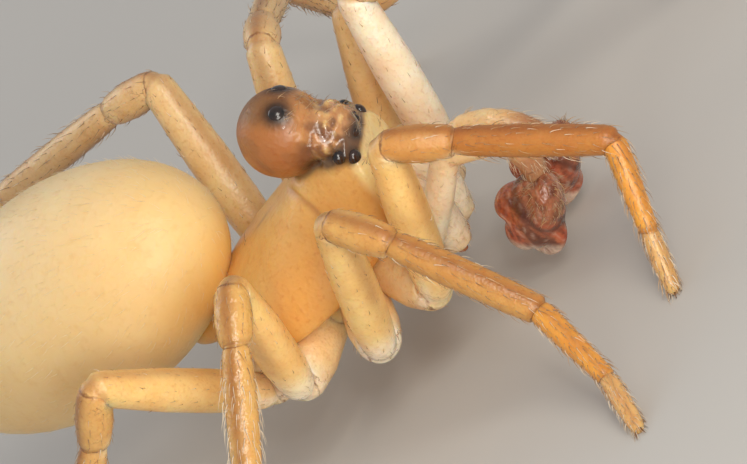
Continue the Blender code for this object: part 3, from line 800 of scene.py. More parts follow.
def headGloss(points):
    # wet on the saddle and the front of the head, satin on the carapace, nearly dry on the globe
    onLobe = np.linalg.norm(points - np.array(body["lobeCentre"]), axis=1) / body["lobeRadius"]
    high = near(points, *headPlaces["wetFront"])
    facing = ease((points[:, 1] - 0.225) / 0.05) * ease((points[:, 2] - 0.36) / 0.05)
    return np.clip(0.16 - 0.13 * ease((1.15 - onLobe) / 0.15) + 0.95 * high + 0.5 * facing, 0.0, 1.0)


lobeCentre = np.array(body["lobeCentre"])
radius = body["lobeRadius"]
tilt = math.radians(lobe["saddleTilt"])
tiltTurn = np.array(((1, 0, 0), (0, math.cos(tilt), math.sin(tilt)), (0, -math.sin(tilt), math.cos(tilt))))
prosoma = fusedShell([
    carapaceRings(),
    ballRings(lobeCentre, (radius, radius, radius)),
    ballRings(lobe["saddleCentre"], lobe["saddleHalf"], tiltTurn),
    ballRings(lobe["ridgeCentre"], lobe["ridgeHalf"]),
], carapace["voxel"], carapace["rounds"], headTint, headGloss, 1)
# granules stand out on the saddle and the groove is let in, along the line from the middle of the head
outward = unit(prosoma.points - np.array(lobe["liftFrom"]))
raised = lobe["grainHeight"] * saddleGrains(prosoma.points) * onSaddle(prosoma.points) \
    - lobe["grooveDepth"] * neckGroove(prosoma.points)
folded = prosoma.points * np.where(prosoma.points[:, :1] < 0.0, (-1.0, 1.0, 1.0), 1.0)
wet = np.clip(sum(near(folded, spot, lobe["lumpSize"]) for spot in lobe["lumps"]), 0.0, 1.0)
# painted highlight: the wet lumps are tinted pale
prosoma.tint = mixTone(prosoma.tint, headTones["pale"], 0.40 * wet)
prosoma.gloss = np.maximum(prosoma.gloss, wet)
raised = raised + lobe["lumpHeight"] * wet
prosoma.points = prosoma.points + outward * raised[:, None]
allShells.append(prosoma)
print("head and carapace", len(prosoma.points))


abdomen = {
    "centre": (-0.100, -0.750, 0.362), "half": (0.325, 0.570, 0.330), "swing": 11.0, "droop": 6.0,
    "rows": 126, "columns": 112,
    # below, on its own axes (right, rearward): the lung covers, and the furrow behind them
    "lungAt": (0.105, -0.30), "lungSize": (0.05, 0.07),
    "furrowAt": -0.215, "furrowBend": 0.15, "furrowWidth": 0.006, "furrowReach": 0.18,
    "waist": ((-0.015, -0.430, 0.093), (0.046, 0.110, 0.046)),    # middle and half sizes
}
abdomenTones = {"cream": tone(236, 206, 150), "amber": tone(252, 208, 124), "pale": tone(243, 222, 182),
                "lung": tone(250, 226, 160), "furrow": tone(168, 112, 60), "hair": tone(232, 200, 142)}
swing = Matrix.Rotation(-math.radians(abdomen["swing"]), 3, "Z") @ \
    Matrix.Rotation(-math.radians(abdomen["droop"]), 3, "X")
modelTurn = np.array(swing)
flip = np.diag((-1.0, -1.0, 1.0))
abdomenTurn = flip @ modelTurn       # from the abdomen's own axes (model sense) to the animal's


def onAbdomen(offsets):
    # the abdomen's own axes turned by its swing and droop, about its middle
    return np.asarray(abdomen["centre"]) + np.asarray(offsets) @ abdomenTurn.T


def abdomenOffsets(u, v):
    # an egg: girth sin u, fuller in front, flatter below, with slow swellings
    half, length, height = abdomen["half"]
    along = -np.cos(u)
    girth = np.sin(u) * (1.0 - 0.05 * along)
    flat = np.where(np.sin(v) < 0.0, 0.94, 1.0)
    swell = 1.0 + 0.004 * np.sin(5.0 * v + 3.0 * along) * np.sin(u) + 0.003 * np.cos(9.0 * along + 2.0 * v)
    return np.stack([half * girth * np.cos(v) * swell, length * along + 0.0 * v,
                     height * girth * flat * np.sin(v) * swell], -1)


u = np.linspace(0.03, math.pi - 0.03, abdomen["rows"])[:, None]
v = roundAngles(abdomen["columns"])[None, :]
eggOffsets = abdomenOffsets(u, v + 0.0 * u)
eggRings = onAbdomen(eggOffsets)
# deeper amber toward the front and the underside: partly the abdomen's own amber, partly painted shade of the
# underside
front = ease((-eggOffsets[..., 1] - 0.20) / 0.35)
under = ease((-eggOffsets[..., 2] + 0.02) / 0.25)
tint = mixTone(abdomenTones["cream"], abdomenTones["amber"],
               np.clip(0.70 * front * (0.25 + under) + 0.30 * under, 0.0, 0.85))
# below: two pale lung covers and a dark furrow behind them, seen from the abdomen's own axes
aside, behind = np.abs(eggOffsets[..., 0]), eggOffsets[..., 1]
lungs = np.exp(-((aside - abdomen["lungAt"][0]) / abdomen["lungSize"][0]) ** 2
               - ((behind - abdomen["lungAt"][1]) / abdomen["lungSize"][1]) ** 2)
bent = behind - abdomen["furrowAt"] + abdomen["furrowBend"] * aside ** 2
furrow = np.exp(-(bent / abdomen["furrowWidth"]) ** 2) * ease((abdomen["furrowReach"] - aside) / 0.03)
lower = ease((-eggOffsets[..., 2] - 0.15) / 0.06)
tint = mixTone(tint, abdomenTones["lung"], 0.6 * lungs * lower)
tint = mixTone(tint, abdomenTones["furrow"], 0.6 * furrow * lower)
# painted light: paler on the top, where the light falls
top = ease((eggOffsets[..., 2] - 0.10) / 0.2)
tint = mixTone(tint, abdomenTones["pale"], 0.4 * top)
abdomenShell = closedGrid(eggRings, tint, 0.35, 2)
allShells.append(abdomenShell)
waist = ballRings(*abdomen["waist"], rows=24, columns=28)
allShells.append(closedGrid(waist, headTones["amber"], 0.3, 1))
print("abdomen laid")


spinnerets = {
    # start and end on the abdomen's own axes, and radius
    "pairs": (((0.034, 0.500, -0.085), (0.042, 0.612, -0.128), 0.033),
              ((0.020, 0.530, -0.060), (0.024, 0.618, -0.076), 0.022),
              ((0.014, 0.520, -0.072), (0.012, 0.596, -0.098), 0.014)),
    "profile": ((0.0, 1.0), (0.6, 0.86), (0.62, 0.72), (0.9, 0.62), (1.0, 0.15)),
    "tone": tone(222, 176, 112),
}
for side in (-1.0, 1.0):
    for start, end, thick in spinnerets["pairs"]:
        spots = np.linspace(0.0, 1.0, 16)
        radii = thick * atPlaces(spinnerets["profile"], spots)
        rings = rod(onAbdomen(onSide((start, end), side)), spots, radii, (1.0, 0.0, 0.0), 0.004, 20)
        allShells.append(closedGrid(rings, spinnerets["tone"], 0.3, 0))


jaws = {
    "path": ((0.070, 0.300, 0.215), (0.068, 0.338, 0.060), (0.060, 0.305, -0.105)),
    "radii": ((0.0, 0.052), (0.25, 0.060), (0.5, 0.066), (0.75, 0.056), (0.93, 0.042), (1.0, 0.012)),
    "fang": ((0.052, 0.292, -0.095), (0.044, 0.296, -0.116), (0.026, 0.292, -0.124), (0.008, 0.284, -0.120)),
    "fangRadii": ((0.0, 0.017), (0.3, 0.013), (1.0, 0.002)),
    "tone": tone(254, 234, 206), "shadow": tone(242, 204, 156), "fangTone": tone(170, 104, 58),
}
underParts = {
    "shieldTone": tone(232, 186, 120), "lipTone": tone(234, 190, 132),
    # middle and half sizes of the shield, and of the lip and the two jaw lobes
    "shield": ((0.0, -0.070, 0.010), (0.200, 0.240, 0.075)),
    "lips": (((0.0, 0.190, 0.0), (0.055, 0.060, 0.040)), ((0.085, 0.235, -0.030), (0.050, 0.075, 0.050)),
             ((-0.085, 0.235, -0.030), (0.050, 0.075, 0.050))),
}
shield = closedGrid(ballRings(*underParts["shield"]), underParts["shieldTone"], 0.3, 1)
allShells.append(shield)
for centre, half in underParts["lips"]:
    allShells.append(closedGrid(ballRings(centre, half, rows=24, columns=32), underParts["lipTone"], 0.3, 0))
jawRings = []
for side in (-1.0, 1.0):
    spots = np.linspace(0.0, 1.0, 44)
    radii = atPlaces(jaws["radii"], spots)
    rings = rod(onSide(jaws["path"], side), spots, radii, (1.0, 0.0, 0.0), 0.035, 40, 0.99)
    ends = ease((0.10 - spots) / 0.2) + ease((spots - 0.75) / 0.3)
    shade = mixTone(jaws["tone"], jaws["shadow"], ends[:, None])
    allShells.append(closedGrid(rings, shade, 0.8, 0))
    jawRings.append(rings)
    spots = np.linspace(0.0, 1.0, 22)
    radii = atPlaces(jaws["fangRadii"], spots)
    rings = rod(onSide(jaws["fang"], side), spots, radii, (0.0, 1.0, 0.4), 0.010, 16)
    allShells.append(closedGrid(rings, jaws["fangTone"], 1.0, 0))


palps = {
    # knee, elbow, wrist, middle of the bulb
    "right": ((0.120, 0.535, 0.202), (0.105, 0.700, 0.125), (0.108, 0.682, 0.008), (0.125, 0.590, -0.095)),
    "left": ((0.112, 0.480, 0.115), (0.100, 0.585, 0.080), (0.094, 0.645, -0.035), (0.090, 0.596, -0.127)),
    "hang": (0.050, -0.220, -0.200),
    "cover": (0.395, 0.888, 0.237),      # the side of the bulb that the hood lies on
    # place along the limb and radius; 1 is the first joint, 2 the knee, 3 the elbow, 4 the wrist,
    # and 5 lies inside the hood
    "radii": ((0.0, 0.045), (0.9, 0.036), (1.1, 0.034), (1.5, 0.043), (1.9, 0.040), (2.0, 0.033),
              (2.1, 0.038), (2.9, 0.037), (3.0, 0.032), (3.12, 0.037), (3.5, 0.041), (3.85, 0.038),
              (4.05, 0.034), (4.4, 0.026), (5.0, 0.010)),
    "root": (0.115, 0.230, -0.010), "firstJoint": (0.130, 0.290, 0.0),
    # the middle of the hood and of two lobes, counted from the middle of the bulb, and their half sizes
    "hoodAt": (0.020, 0.045, 0.012), "hoodHalf": (0.066, 0.052, 0.097), "bulbHalf": (0.080, 0.084, 0.116),
    "lobes": (((0.010, -0.068, -0.030), (0.052, 0.050, 0.058)),
              ((-0.010, -0.028, 0.052), (0.058, 0.062, 0.050))),
    # the bent spine at the tip, counted from the middle of the bulb
    "spine": ((0.004, 0.020, -0.050), (0.022, 0.004, -0.084), (0.026, -0.020, -0.108),
              (0.012, -0.055, -0.122), (-0.006, -0.085, -0.112), (-0.018, -0.106, -0.090)),
    "spineRadii": ((0.0, 0.030), (0.3, 0.030), (0.6, 0.022), (0.9, 0.012), (1.0, 0.004)),
    "rings": 90, "columns": 30, "voxel": 0.0055,
    "foot": tone(253, 234, 204), "tone": tone(240, 206, 154), "end": tone(178, 122, 84),
    "hood": tone(182, 118, 82), "bulb": tone(188, 112, 74), "dark": tone(96, 54, 36),
    "pale": tone(244, 224, 200), "red": tone(206, 104, 66),
}
palpLimbs = []
bulbShells = []


def bulbTint(centre, hang, cover):
    def tintOf(points):
        # red-brown with darker folds, paler at the lower rim (pale cuticle with a painted highlight);
        # a tan hood on the outer side behind a hollow darkened as painted shade
        gap = points - centre
        low = gap @ hang
        outside = gap @ cover
        wave = mottle(points, 62.0)
        speck = mottle(points[:, ::-1], 210.0)
        tint = mixTone(palps["bulb"], palps["dark"], 0.75 * ease((wave - 0.05) / 0.5))
        tint = mixTone(tint, palps["red"], 0.7 * ease((-wave - 0.2) / 0.5))
        tint = mixTone(tint, palps["hood"], 0.9 * ease((outside - 0.050) / 0.020))
        tint = mixTone(tint, palps["dark"], 0.45 * ease((speck - 0.35) / 0.4))
        tint = mixTone(tint, palps["pale"], 0.25 * ease((-speck - 0.55) / 0.3))
        # painted shade in the hollow where the hood meets the bulb
        hollowShade = np.exp(-((outside - 0.040) / 0.014) ** 2) * ease((0.075 - low) / 0.05)
        tint = mixTone(tint, palps["dark"], 0.85 * hollowShade)
        # paler at the lower rim: partly pale cuticle, partly a painted highlight
        return mixTone(tint, palps["pale"], 0.85 * ease((low - 0.074) / 0.030))
    return tintOf


bothSides = (("right", 1.0), ("left", -1.0))
for word, side in bothSides:
    knee, elbow, wrist, centre = onSide(palps[word], side)
    hang = unit(onSide(palps["hang"], side))
    cover = unit(onSide(palps["cover"], side))
    hood = centre + onSide(palps["hoodAt"], side)
    route = np.array([*onSide((palps["root"], palps["firstJoint"]), side), knee, elbow, wrist, hood])
    stops = pathStops(route)
    spots = np.linspace(0.0, 5.0, palps["rings"])
    lengths = np.interp(spots, np.arange(6), stops)
    rings, _, way, _, _ = tube(route, lengths, atPlaces(palps["radii"], spots), np.array((1.0, 0.0, 0.0)),
                               0.022, palps["columns"])
    limbTone = mixTone(palps["foot"], palps["tone"], ease((spots - 1.6) / 0.6)[:, None])
    limbTone = mixTone(limbTone, palps["end"], 0.9 * ease((spots - 3.0) / 0.7)[:, None])
    joints = np.min(np.abs(lengths[:, None] - stops[1:5]), axis=1)[:, None]
    bell = np.exp(-(joints / 0.03) ** 2)
    allShells.append(closedGrid(rings, limbTone, 0.5, 0, {"joint": joints, "seam": bell * 0.6, "near": bell}))
    palpLimbs.append((rings, way))
    spots = np.linspace(0.0, 1.0, 40)
    spineRings = rod(onSide(palps["spine"], side) + centre, spots, atPlaces(palps["spineRadii"], spots),
                     (1.0, 0.2, 0.0), 0.010, 20)
    bulbShells.append(fusedShell([
        ballRings(centre, palps["bulbHalf"], turnTo(hang)),
        ballRings(hood, palps["hoodHalf"], turnTo(hang)),
        *(ballRings(centre + onSide(at, side), half) for at, half in palps["lobes"]),
        spineRings,
    ], palps["voxel"], 4, bulbTint(centre, hang, cover), 0.8, 0))
    print("bulb", len(bulbShells[-1].points))
print("palps laid")

skin = meshPiece("spider_skin", allShells, [paints[name] for name in skinPaints])
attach(skin, "root")
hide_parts(*[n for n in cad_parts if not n.startswith(("eye_", "palp_bulb"))])
for word, shell in zip(("right", "left"), bulbShells):
    bulb = meshPiece("palp_bulb_skin_" + word, [shell], [paints["bulb"]])
    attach(bulb, "root")
    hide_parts("palp_bulb_" + word)    # the hood belongs to the limb's node, which the skin replaces


def eyeMaterial():
    # black lens with a faint brown cloud, under a clear coat
    shade = Shade("eyeLens", {"Roughness": 0.25, "Coat Weight": 0.7, "Coat Roughness": 0.05, "IOR": 1.45})
    cloud = shade.noise(30.0 * perMetre, 2.0, 0.5)
    shade.feed("Base Color", shade.blendColour(shade.span(cloud, 0.35, 0.75), tuple(tone(14, 10, 8)),
                                               tuple(tone(58, 34, 22))))
    return shade.material


lens = eyeMaterial()
for kind, (spot, size) in eyes.items():
    for word, side in bothSides:
        if kind == "rear_middle":
            way = unit(onSide(eyeLean, side))
            outward = unit(eyeLean) * (side, 1.0, 1.0)
            place = np.array(body["lobeCentre"]) + outward * body["lobeRadius"] * lensShape["sunk"]
            flat = lensShape["onGlobe"]
        else:
            place = onSide(spot, side)
            way = unit(place - np.array(lensShape["from"]))
            flat = lensShape["inFront"]
        lensRings = ballRings(place, (size, size, size * flat), turnTo(way), 24, 32)
        shell = closedGrid(lensRings, (0.0, 0.0, 0.0), 0.9, 0)
        eye = meshPiece("eye_lens_" + kind + "_" + word, [shell], [lens])
        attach(eye, "root")
        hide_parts("eye_" + kind + "_" + word)
print("eyes set")


coat = {
    # rings along a hair: share of its length, share of its thickness; the first two make the dark socket
    "rings": ((0.0, 2.3), (0.03, 1.2), (0.25, 0.95), (0.5, 0.75), (0.78, 0.45), (1.0, 0.05)),
    "sides": 3, "patch": 0.003,
    "gold": tone(206, 160, 102), "brown": tone(112, 72, 42), "pale": tone(246, 230, 202),
    "socket": tone(96, 60, 34),
}


def hairMaterial():
    # stiff hair: its own tint with faint pale clouds
    shade = Shade("bristle", {"Roughness": 0.32, "Coat Weight": 0.3, "Coat Roughness": 0.2, "IOR": 1.5})
    tint = shade.attribute("tint")
    cloud = shade.noise(60.0 * perMetre, 2.0, 0.5)
    shade.feed("Base Color", shade.blendColour(shade.span(cloud, 0.4, 0.7) * 0.3, tint, tuple(coat["pale"])))
    return shade.material


bristle = hairMaterial()


def hairPiece(name, hairs, socket):
    # each hair: root + L (out * t (1 - 0.45 t) + lie * t (0.35 + 0.65 t)) for t from 0 to 1;
    # socket says how dark its foot is
    roots, out, lie, lengths, thick, tints, unwrap = (np.concatenate([h[k] for h in hairs]) for k in range(7))
    count = len(roots)
    t = np.array([row[0] for row in coat["rings"]])[None, :, None]
    width = np.array([row[1] for row in coat["rings"]])[None, :, None]
    spine = roots[:, None, :] + lengths[:, None, None] * (
        out[:, None, :] * t * (1.0 - 0.45 * t) + lie[:, None, :] * t * (0.35 + 0.65 * t))
    way = unit(np.diff(spine, axis=1, prepend=2.0 * spine[:, :1] - spine[:, 1:2]))
    side = unit(np.cross(way, out[:, None, :] + 0.01 * lie[:, None, ::-1]))
    back = np.cross(way, side)
    rows, sides = t.shape[1], coat["sides"]
    v = roundAngles(sides)
    wide = (thick[:, None, None] * width)[:, :, None, :]
    rings = spine[:, :, None, :] + wide * (side[:, :, None, :] * np.cos(v)[None, None, :, None]
                                           + back[:, :, None, :] * np.sin(v)[None, None, :, None])
    per = rows * sides
    base = np.arange(count)[:, None, None] * per
    quads = (gridFaces(rows, sides)[None] + base).reshape(-1, 4)
    tips = np.array(((0, 2, 1), (per - 3, per - 2, per - 1)))
    triangles = (tips[None] + base).reshape(-1, 3)
    dark = np.repeat(np.clip(1.0 - t[0, :, 0] / 0.2, 0.0, 1.0), sides)[None, :] * socket
    dark = np.repeat(dark, count, 0)
    tint = mixTone(np.repeat(tints[:, None, :], per, 1), coat["socket"], dark).reshape(-1, 3)
    piece = meshPiece(name, [Shell(rings.reshape(-1, 3), quads, triangles, tint, 0.5, 0)], [bristle])
    # every hair gets a small patch of the map at its root's place on the unwrapped skin
    i, j = np.meshgrid(np.arange(rows), np.arange(sides), indexing="ij")
    patch = np.stack([j / (sides - 1.0) - 0.5, i / (rows - 1.0) - 0.5], -1).reshape(-1, 2)
    spots = (unwrap[:, None, :] + patch[None] * coat["patch"]).reshape(-1, 2)
    corners = readOut(piece.data.loops, "vertex_index", np.int32)
    piece.data.uv_layers.new(name="OFBake").data.foreach_set("uv", spots[corners].astype(np.float32).ravel())
    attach(piece, "root")
    return piece


def inCell(u, v, number, across, down):
    # places 0..1 put into one cell of a grid on the map, with a small margin
    cell = np.array((number % across, number // across), float)
    return (cell + 0.03 + 0.94 * np.stack([u, v], -1)) / (across, down)


# For each segment (coxa, femur, patella, tibia, metatarsus, tarsus): rows round the leg, steps along it,
# length and how far the hairs stand out
legHair = {
    "rows": (4, 9, 9, 12, 13, 13), "steps": (3, 12, 6, 13, 14, 12), "thick": 0.00115,
    "length": (0.020, 0.018, 0.026, 0.038, 0.036, 0.030), "stand": (0.4, 0.35, 0.35, 0.36, 0.42, 0.45),
}
legHairs = []
for number, spots, centre, way, across, back, radii in legHairRoots:
    grid = list(zip(legHair["rows"], legHair["steps"]))
    seg = np.concatenate([np.full(r * s, k) for k, (r, s) in enumerate(grid)])
    row = np.concatenate([np.repeat(np.arange(r) / r, s) for r, s in grid])
    step = np.concatenate([np.tile((np.arange(s) + 0.5) / s, r) for r, s in grid])
    count = len(seg)
    share = np.clip(step + rng.normal(0.0, 0.022, count) + 0.03 * np.sin(row * 40.0), 0.05, 0.965)
    place = np.where(seg == 0, 0.72 + 0.24 * share, seg + share)
    angle = 2.0 * math.pi * (row + rng.normal(0.0, 0.012, count) * (seg > 0))
    keep = rng.uniform(0.0, 1.0, count) < np.where((seg > 1) | (np.sin(angle) > -0.3), 0.92, 0.45)
    seg, place, angle = seg[keep], place[keep], angle[keep]
    count = len(seg)

    def at(values):
        return np.stack([np.interp(place, spots, values[:, k]) for k in range(3)], -1)

    normal = unit(at(across) * np.cos(angle)[:, None] + at(back) * np.sin(angle)[:, None])
    drift = rng.normal(0.0, 0.12, (count, 3))
    outs = unit(normal + drift) * (np.array(legHair["stand"])[seg] * rng.uniform(0.7, 1.3, count))[:, None]
    longer = 1.0 + 0.5 * (rng.uniform(0.0, 1.0, count) < 0.10) * (seg > 2)
    tints = mixTone(np.broadcast_to(coat["gold"], (count, 3)), coat["brown"], rng.uniform(0.0, 0.75, count))
    tints = mixTone(tints, coat["pale"], 0.8 * (rng.uniform(0.0, 1.0, count) < np.where(seg > 4, 0.5, 0.15)))
    # longer hairs on right_3's tibia, tinted pale as a painted highlight where they catch the light
    litFringe = (number == 2) * (seg == 3) * (place > 3.25)
    tints = mixTone(tints, coat["pale"], 0.85 * litFringe)
    longer = longer + 0.35 * litFringe
    reach = np.array(legHair["length"])[seg] * rng.uniform(0.7, 1.2, count) * longer
    legHairs.append((at(centre) + normal * (np.interp(place, spots, radii) * 0.985)[:, None], outs,
                     unit(at(way) + drift), reach,
                     legHair["thick"] * rng.uniform(0.8, 1.3, count), tints,
                     inCell(place / 6.0, np.mod(angle / (2.0 * math.pi), 1.0), number, 4, 2)))
legHairPiece = hairPiece("leg_hairs", legHairs, 0.8)


def pointNormals(shell):
    # the mean of the faces' normals round each point
    corners = np.concatenate([shell.quads[:, :3], shell.quads[:, (0, 2, 3)], shell.triangles])
    a, b, c = (shell.points[corners[:, k]] for k in range(3))
    normals = np.zeros_like(shell.points)
    for k in range(3):
        np.add.at(normals, corners[:, k], np.cross(b - a, c - a))
    return unit(normals)


def scattered(shell, picked, lie, row, tints, cell):
    # hairs of one kind on chosen points of a shell, lying along the given direction within the surface
    count = len(picked)
    normal = pointNormals(shell)[picked]
    drift = rng.normal(0.0, 0.14, (count, 3))
    along = np.broadcast_to(lie, (count, 3))
    along = unit(along - normal * (along * normal).sum(1, keepdims=True) + drift)
    out = unit(normal + drift) * (row["stand"] * rng.uniform(0.7, 1.3, count))[:, None]
    low, high = shell.points.min(0), shell.points.max(0)
    turn = np.arctan2(*(shell.points[picked] - (low + high) / 2.0)[:, [0, 2]].T) / (2.0 * math.pi) + 0.5
    spot = (shell.points[picked, 1] - low[1]) / (high[1] - low[1])
    return (shell.points[picked], out, along, row["long"] * rng.uniform(0.7, 1.25, count),
            row["thick"] * rng.uniform(0.8, 1.25, count), tints, inCell(spot, turn, cell, 4, 2))


bodyHair = {
    "abdomen": {"count": 1500, "long": 0.030, "stand": 0.34, "thick": 0.0006},
    "head": {"count": 70, "long": 0.030, "stand": 0.55, "thick": 0.0009},
    "jaw": {"count": 80, "long": 0.024, "stand": 0.45, "thick": 0.0007},
    "limb": {"count": 170, "long": 0.032, "stand": 0.50, "thick": 0.0008},
    "hood": {"count": 130, "long": 0.027, "stand": 0.40, "thick": 0.0008},
    "shield": {"count": 120, "long": 0.024, "stand": 0.5, "thick": 0.0008},
}


bodyHairs = []


def grow(kind, shell, chance, lie, first, second, cell):
    # hairs on points picked by their chance, tinted from the first tone to the second;
    # lie is one direction, or one for every point of the shell
    row = bodyHair[kind]
    picked = rng.choice(len(chance), row["count"], replace=False, p=chance / chance.sum())
    lie = np.asarray(lie, float)
    if lie.ndim == 2:
        lie = lie[picked]
    tints = mixTone(first, second, rng.uniform(0.0, 0.9, row["count"]))
    bodyHairs.append(scattered(shell, picked, lie, row, tints, cell))


# fewer hairs toward the underside; on an egg the grid's points crowd at the poles, so sin u weighs them
weight = np.repeat(np.sin(np.linspace(0.03, math.pi - 0.03, abdomen["rows"])), abdomen["columns"])
weight = weight * np.tile(0.6 + 0.4 * np.sin(roundAngles(abdomen["columns"])), abdomen["rows"])
rearward = onAbdomen((0.0, 1.0, 0.0)) - onAbdomen((0.0, 0.0, 0.0))
grow("abdomen", abdomenShell, weight, rearward, abdomenTones["hair"], coat["pale"], 0)
# how dense, middle and size: the crown of the globe, the face, the front eyes, the middle line
# and the globe's top
headHairs = (
    (2.2, (0.0, 0.250, 0.500), (0.06, 0.06, 0.05)), (1.0, (0.0, 0.345, 0.300), (0.10, 0.03, 0.05)),
    (1.2, (0.0, 0.320, 0.410), (0.10, 0.04, 0.04)), (0.5, (0.0, -0.05, 0.33), (0.012, 0.16, 0.05)),
    (0.1, (0.0, 0.173, 0.62), (0.10, 0.10, 0.05)))
chance = sum(dense * near(prosoma.points, place, size) for dense, place, size in headHairs)
grow("head", prosoma, chance, (0.0, 1.0, 0.3), coat["gold"], coat["brown"], 1)
grow("shield", shield, np.clip(0.03 - shield.points[:, 2], 0.0, 0.05), (0.0, -1.0, 0.0),
     coat["gold"], coat["brown"], 2)
palpPlace = np.linspace(0.0, 1.0, palps["rings"])
bare = np.arange(palps["rings"]) < 74        # the rings past this one lie inside the hood
for k, (word, side) in enumerate(bothSides):
    jaw = closedGrid(jawRings[k], 0.0, 0.0, 0)
    chance = np.clip((jaw.points[:, 1] - 0.30) * 8.0, 0.02, 1.0) * (jaw.points[:, 2] < 0.16)
    grow("jaw", jaw, chance, (0.0, 0.0, -1.0), coat["pale"], coat["gold"], 3)
    rings, way = palpLimbs[k]
    chance = np.append(np.repeat(palpPlace ** 1.2 * bare, palps["columns"]), (0.0, 0.0))
    ways = np.append(np.repeat(way, palps["columns"], 0), np.zeros((2, 3)), 0)
    grow("limb", closedGrid(rings, 0.0, 0.0, 0), chance, ways, coat["pale"], coat["gold"], 4 + k)
    centre = onSide(palps[word][3], side)
    cover = unit(onSide(palps["cover"], side))
    chance = ease(((bulbShells[k].points - centre) @ cover - 0.055) / 0.02) + 1e-9
    grow("hood", bulbShells[k], chance, onSide(palps["hang"], side), coat["gold"], coat["brown"], 6 + k)
bodyHairPiece = hairPiece("body_hairs", bodyHairs, 0.25)

claws = {
    # along the claw: forward, share of the spread outward, up
    "path": ((0.0, 0.0, 0.0), (0.014, 0.4, 0.004), (0.026, 0.8, -0.002), (0.034, 1.0, -0.011)),
    "thick": 0.0042, "spread": 0.011, "clear": 0.002,
}
clawShells = []
for _, _, centre, way, _, _, _ in legHairRoots:
    forth = unit(way[-1] * (1.0, 1.0, 0.25))
    beside = unit(np.cross(forth, (0.0, 0.0, 1.0)))
    for side in (-1.0, 1.0):
        start = centre[-1] - forth * 0.010 + beside * side * 0.005 + np.array((0.0, 0.0, 0.008))
        path = np.array([start + forth * ahead + beside * side * claws["spread"] * apart
                         + np.array((0.0, 0.0, rise)) for ahead, apart, rise in claws["path"]])
        path[:, 2] = np.maximum(path[:, 2], claws["clear"] - body["stand"])
        spots = np.linspace(0.0, 1.0, 12)
        rings = rod(path, spots, claws["thick"] * (1.0 - 0.93 * spots), (0.0, 0.0, 1.0), 0.004, 8)
        clawShells.append(closedGrid(rings, legTones["claw"], 1.0, 0))
clawPiece = meshPiece("foot_claws", clawShells, [paints["leg"]])
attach(clawPiece, "root")

view = {
    # the picture's middle, right of and above the leg roots' middle, and the picture's own axes:
    # all three as the same fit gave them
    "focus": (0.0408, 0.0934),
    "pixelsWide": 747, "pixelsPerMillimetre": 365.0,    # the scale is chosen, as the picture has no ruler
    "right": (-0.073, 0.719, -0.691), "up": (-0.646, 0.494, 0.582), "lens": 850.0, "sensor": 36.0,
}
flipAxes = np.array((-1.0, -1.0, 1.0))
cameraRight = unit(np.array(view["right"]) * flipAxes)
cameraUp = np.array(view["up"]) * flipAxes
cameraUp = unit(cameraUp - cameraRight * (cameraUp @ cameraRight))
cameraBack = np.cross(cameraRight, cameraUp)
middle = toMetres((0.0, 0.0, 0.0)) + (cameraRight * view["focus"][0] + cameraUp * view["focus"][1]) \
    * body["millimetre"]
width = view["pixelsWide"] / view["pixelsPerMillimetre"]
away = width * body["millimetre"] * view["lens"] / view["sensor"]
spot = middle + cameraBack * away
lensData = bpy.data.cameras.new("camera")
lensData.type = "PERSP"
lensData.lens = view["lens"]
lensData.sensor_width = view["sensor"]
lensData.clip_start = 0.001
lensData.clip_end = 5.0
camera = linked("camera", lensData)
camera.matrix_world = Matrix.Translation(Vector(spot)) @ Matrix(
    np.stack([cameraRight, cameraUp, cameraBack], 1).tolist()).to_4x4()
bpy.context.scene.camera = camera

floorSettings = {"radius": 0.9, "columns": 64, "tone": tone(198, 194, 188)}


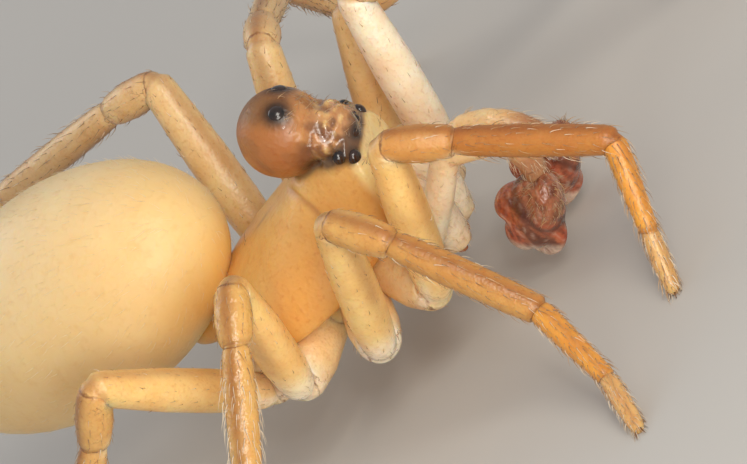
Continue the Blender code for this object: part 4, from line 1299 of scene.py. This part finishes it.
def floorPiece():
    # rings of growing radius on the ground
    radii = np.concatenate([[0.0005], np.geomspace(0.002, floorSettings["radius"], 24)])
    v = roundAngles(floorSettings["columns"])
    places = np.stack([radii[:, None] * np.cos(v), radii[:, None] * np.sin(v), 0.0 * radii[:, None] * v], -1)
    mesh = bpy.data.meshes.new("floor")
    faces = gridFaces(len(radii), len(v)).tolist() + [list(range(len(v)))]
    mesh.from_pydata(places.reshape(-1, 3).tolist(), [], faces)
    mesh.validate()
    ground = linked("floor", mesh)
    shade = Shade("paleFloor", {"Roughness": 0.75, "Specular IOR Level": 0.2})
    cloud = shade.noise(0.25 * perMetre, 2.0, 0.5)
    shade.feed("Base Color", shade.blendColour(shade.span(cloud, 0.3, 0.7) * 0.3,
               tuple(floorSettings["tone"]), tuple(floorSettings["tone"] * 0.93)))
    mesh.materials.append(shade.material)


floorPiece()
world = bpy.data.worlds.new("studio")
bpy.context.scene.world = world
world.use_nodes = True
world.node_tree.nodes["Background"].inputs["Color"].default_value = (0.86, 0.88, 0.92, 1.0)
world.node_tree.nodes["Background"].inputs["Strength"].default_value = 0.48


def softLight(name, direction, distance, size, strength, colour):
    # a square lamp at that distance in a direction given as (right, forward, up), facing the animal
    data = bpy.data.lights.new(name, "AREA")
    data.shape = "RECTANGLE"
    data.size = size * body["millimetre"]
    data.size_y = size * body["millimetre"]
    data.energy = strength * math.pi * (size * body["millimetre"]) ** 2
    data.color = colour
    lamp = linked(name, data)
    way = unit(np.array(direction) * flipAxes)
    lamp.location = Vector(toMetres((0.0, 0.0, 0.0)) + way * distance * body["millimetre"])
    lamp.rotation_mode = "QUATERNION"
    lamp.rotation_quaternion = Vector(way).to_track_quat("Z", "Y")


lamps = {
    # direction (right, forward, up), distance and size in millimetres, strength, colour
    "key": ((0.40, 0.80, 0.80), 13.0, 5.0, 7.3, (1.0, 0.95, 0.86)),
    "fill": ((0.80, 0.52, 0.14), 15.0, 9.0, 5.8, (1.0, 0.95, 0.87)),
    "spark": ((0.62, 0.62, 0.52), 12.0, 1.0, 46.0, (1.0, 0.98, 0.95)),
    "rear": ((-0.6, -0.9, 0.8), 15.0, 9.0, 1.6, (1.0, 0.98, 0.96)),
}
for name, settings in lamps.items():
    softLight(name, *settings)
print("camera, floor and light ready")

bpy.context.scene.view_settings.view_transform = "Standard"
bpy.context.scene.view_settings.look = "None"
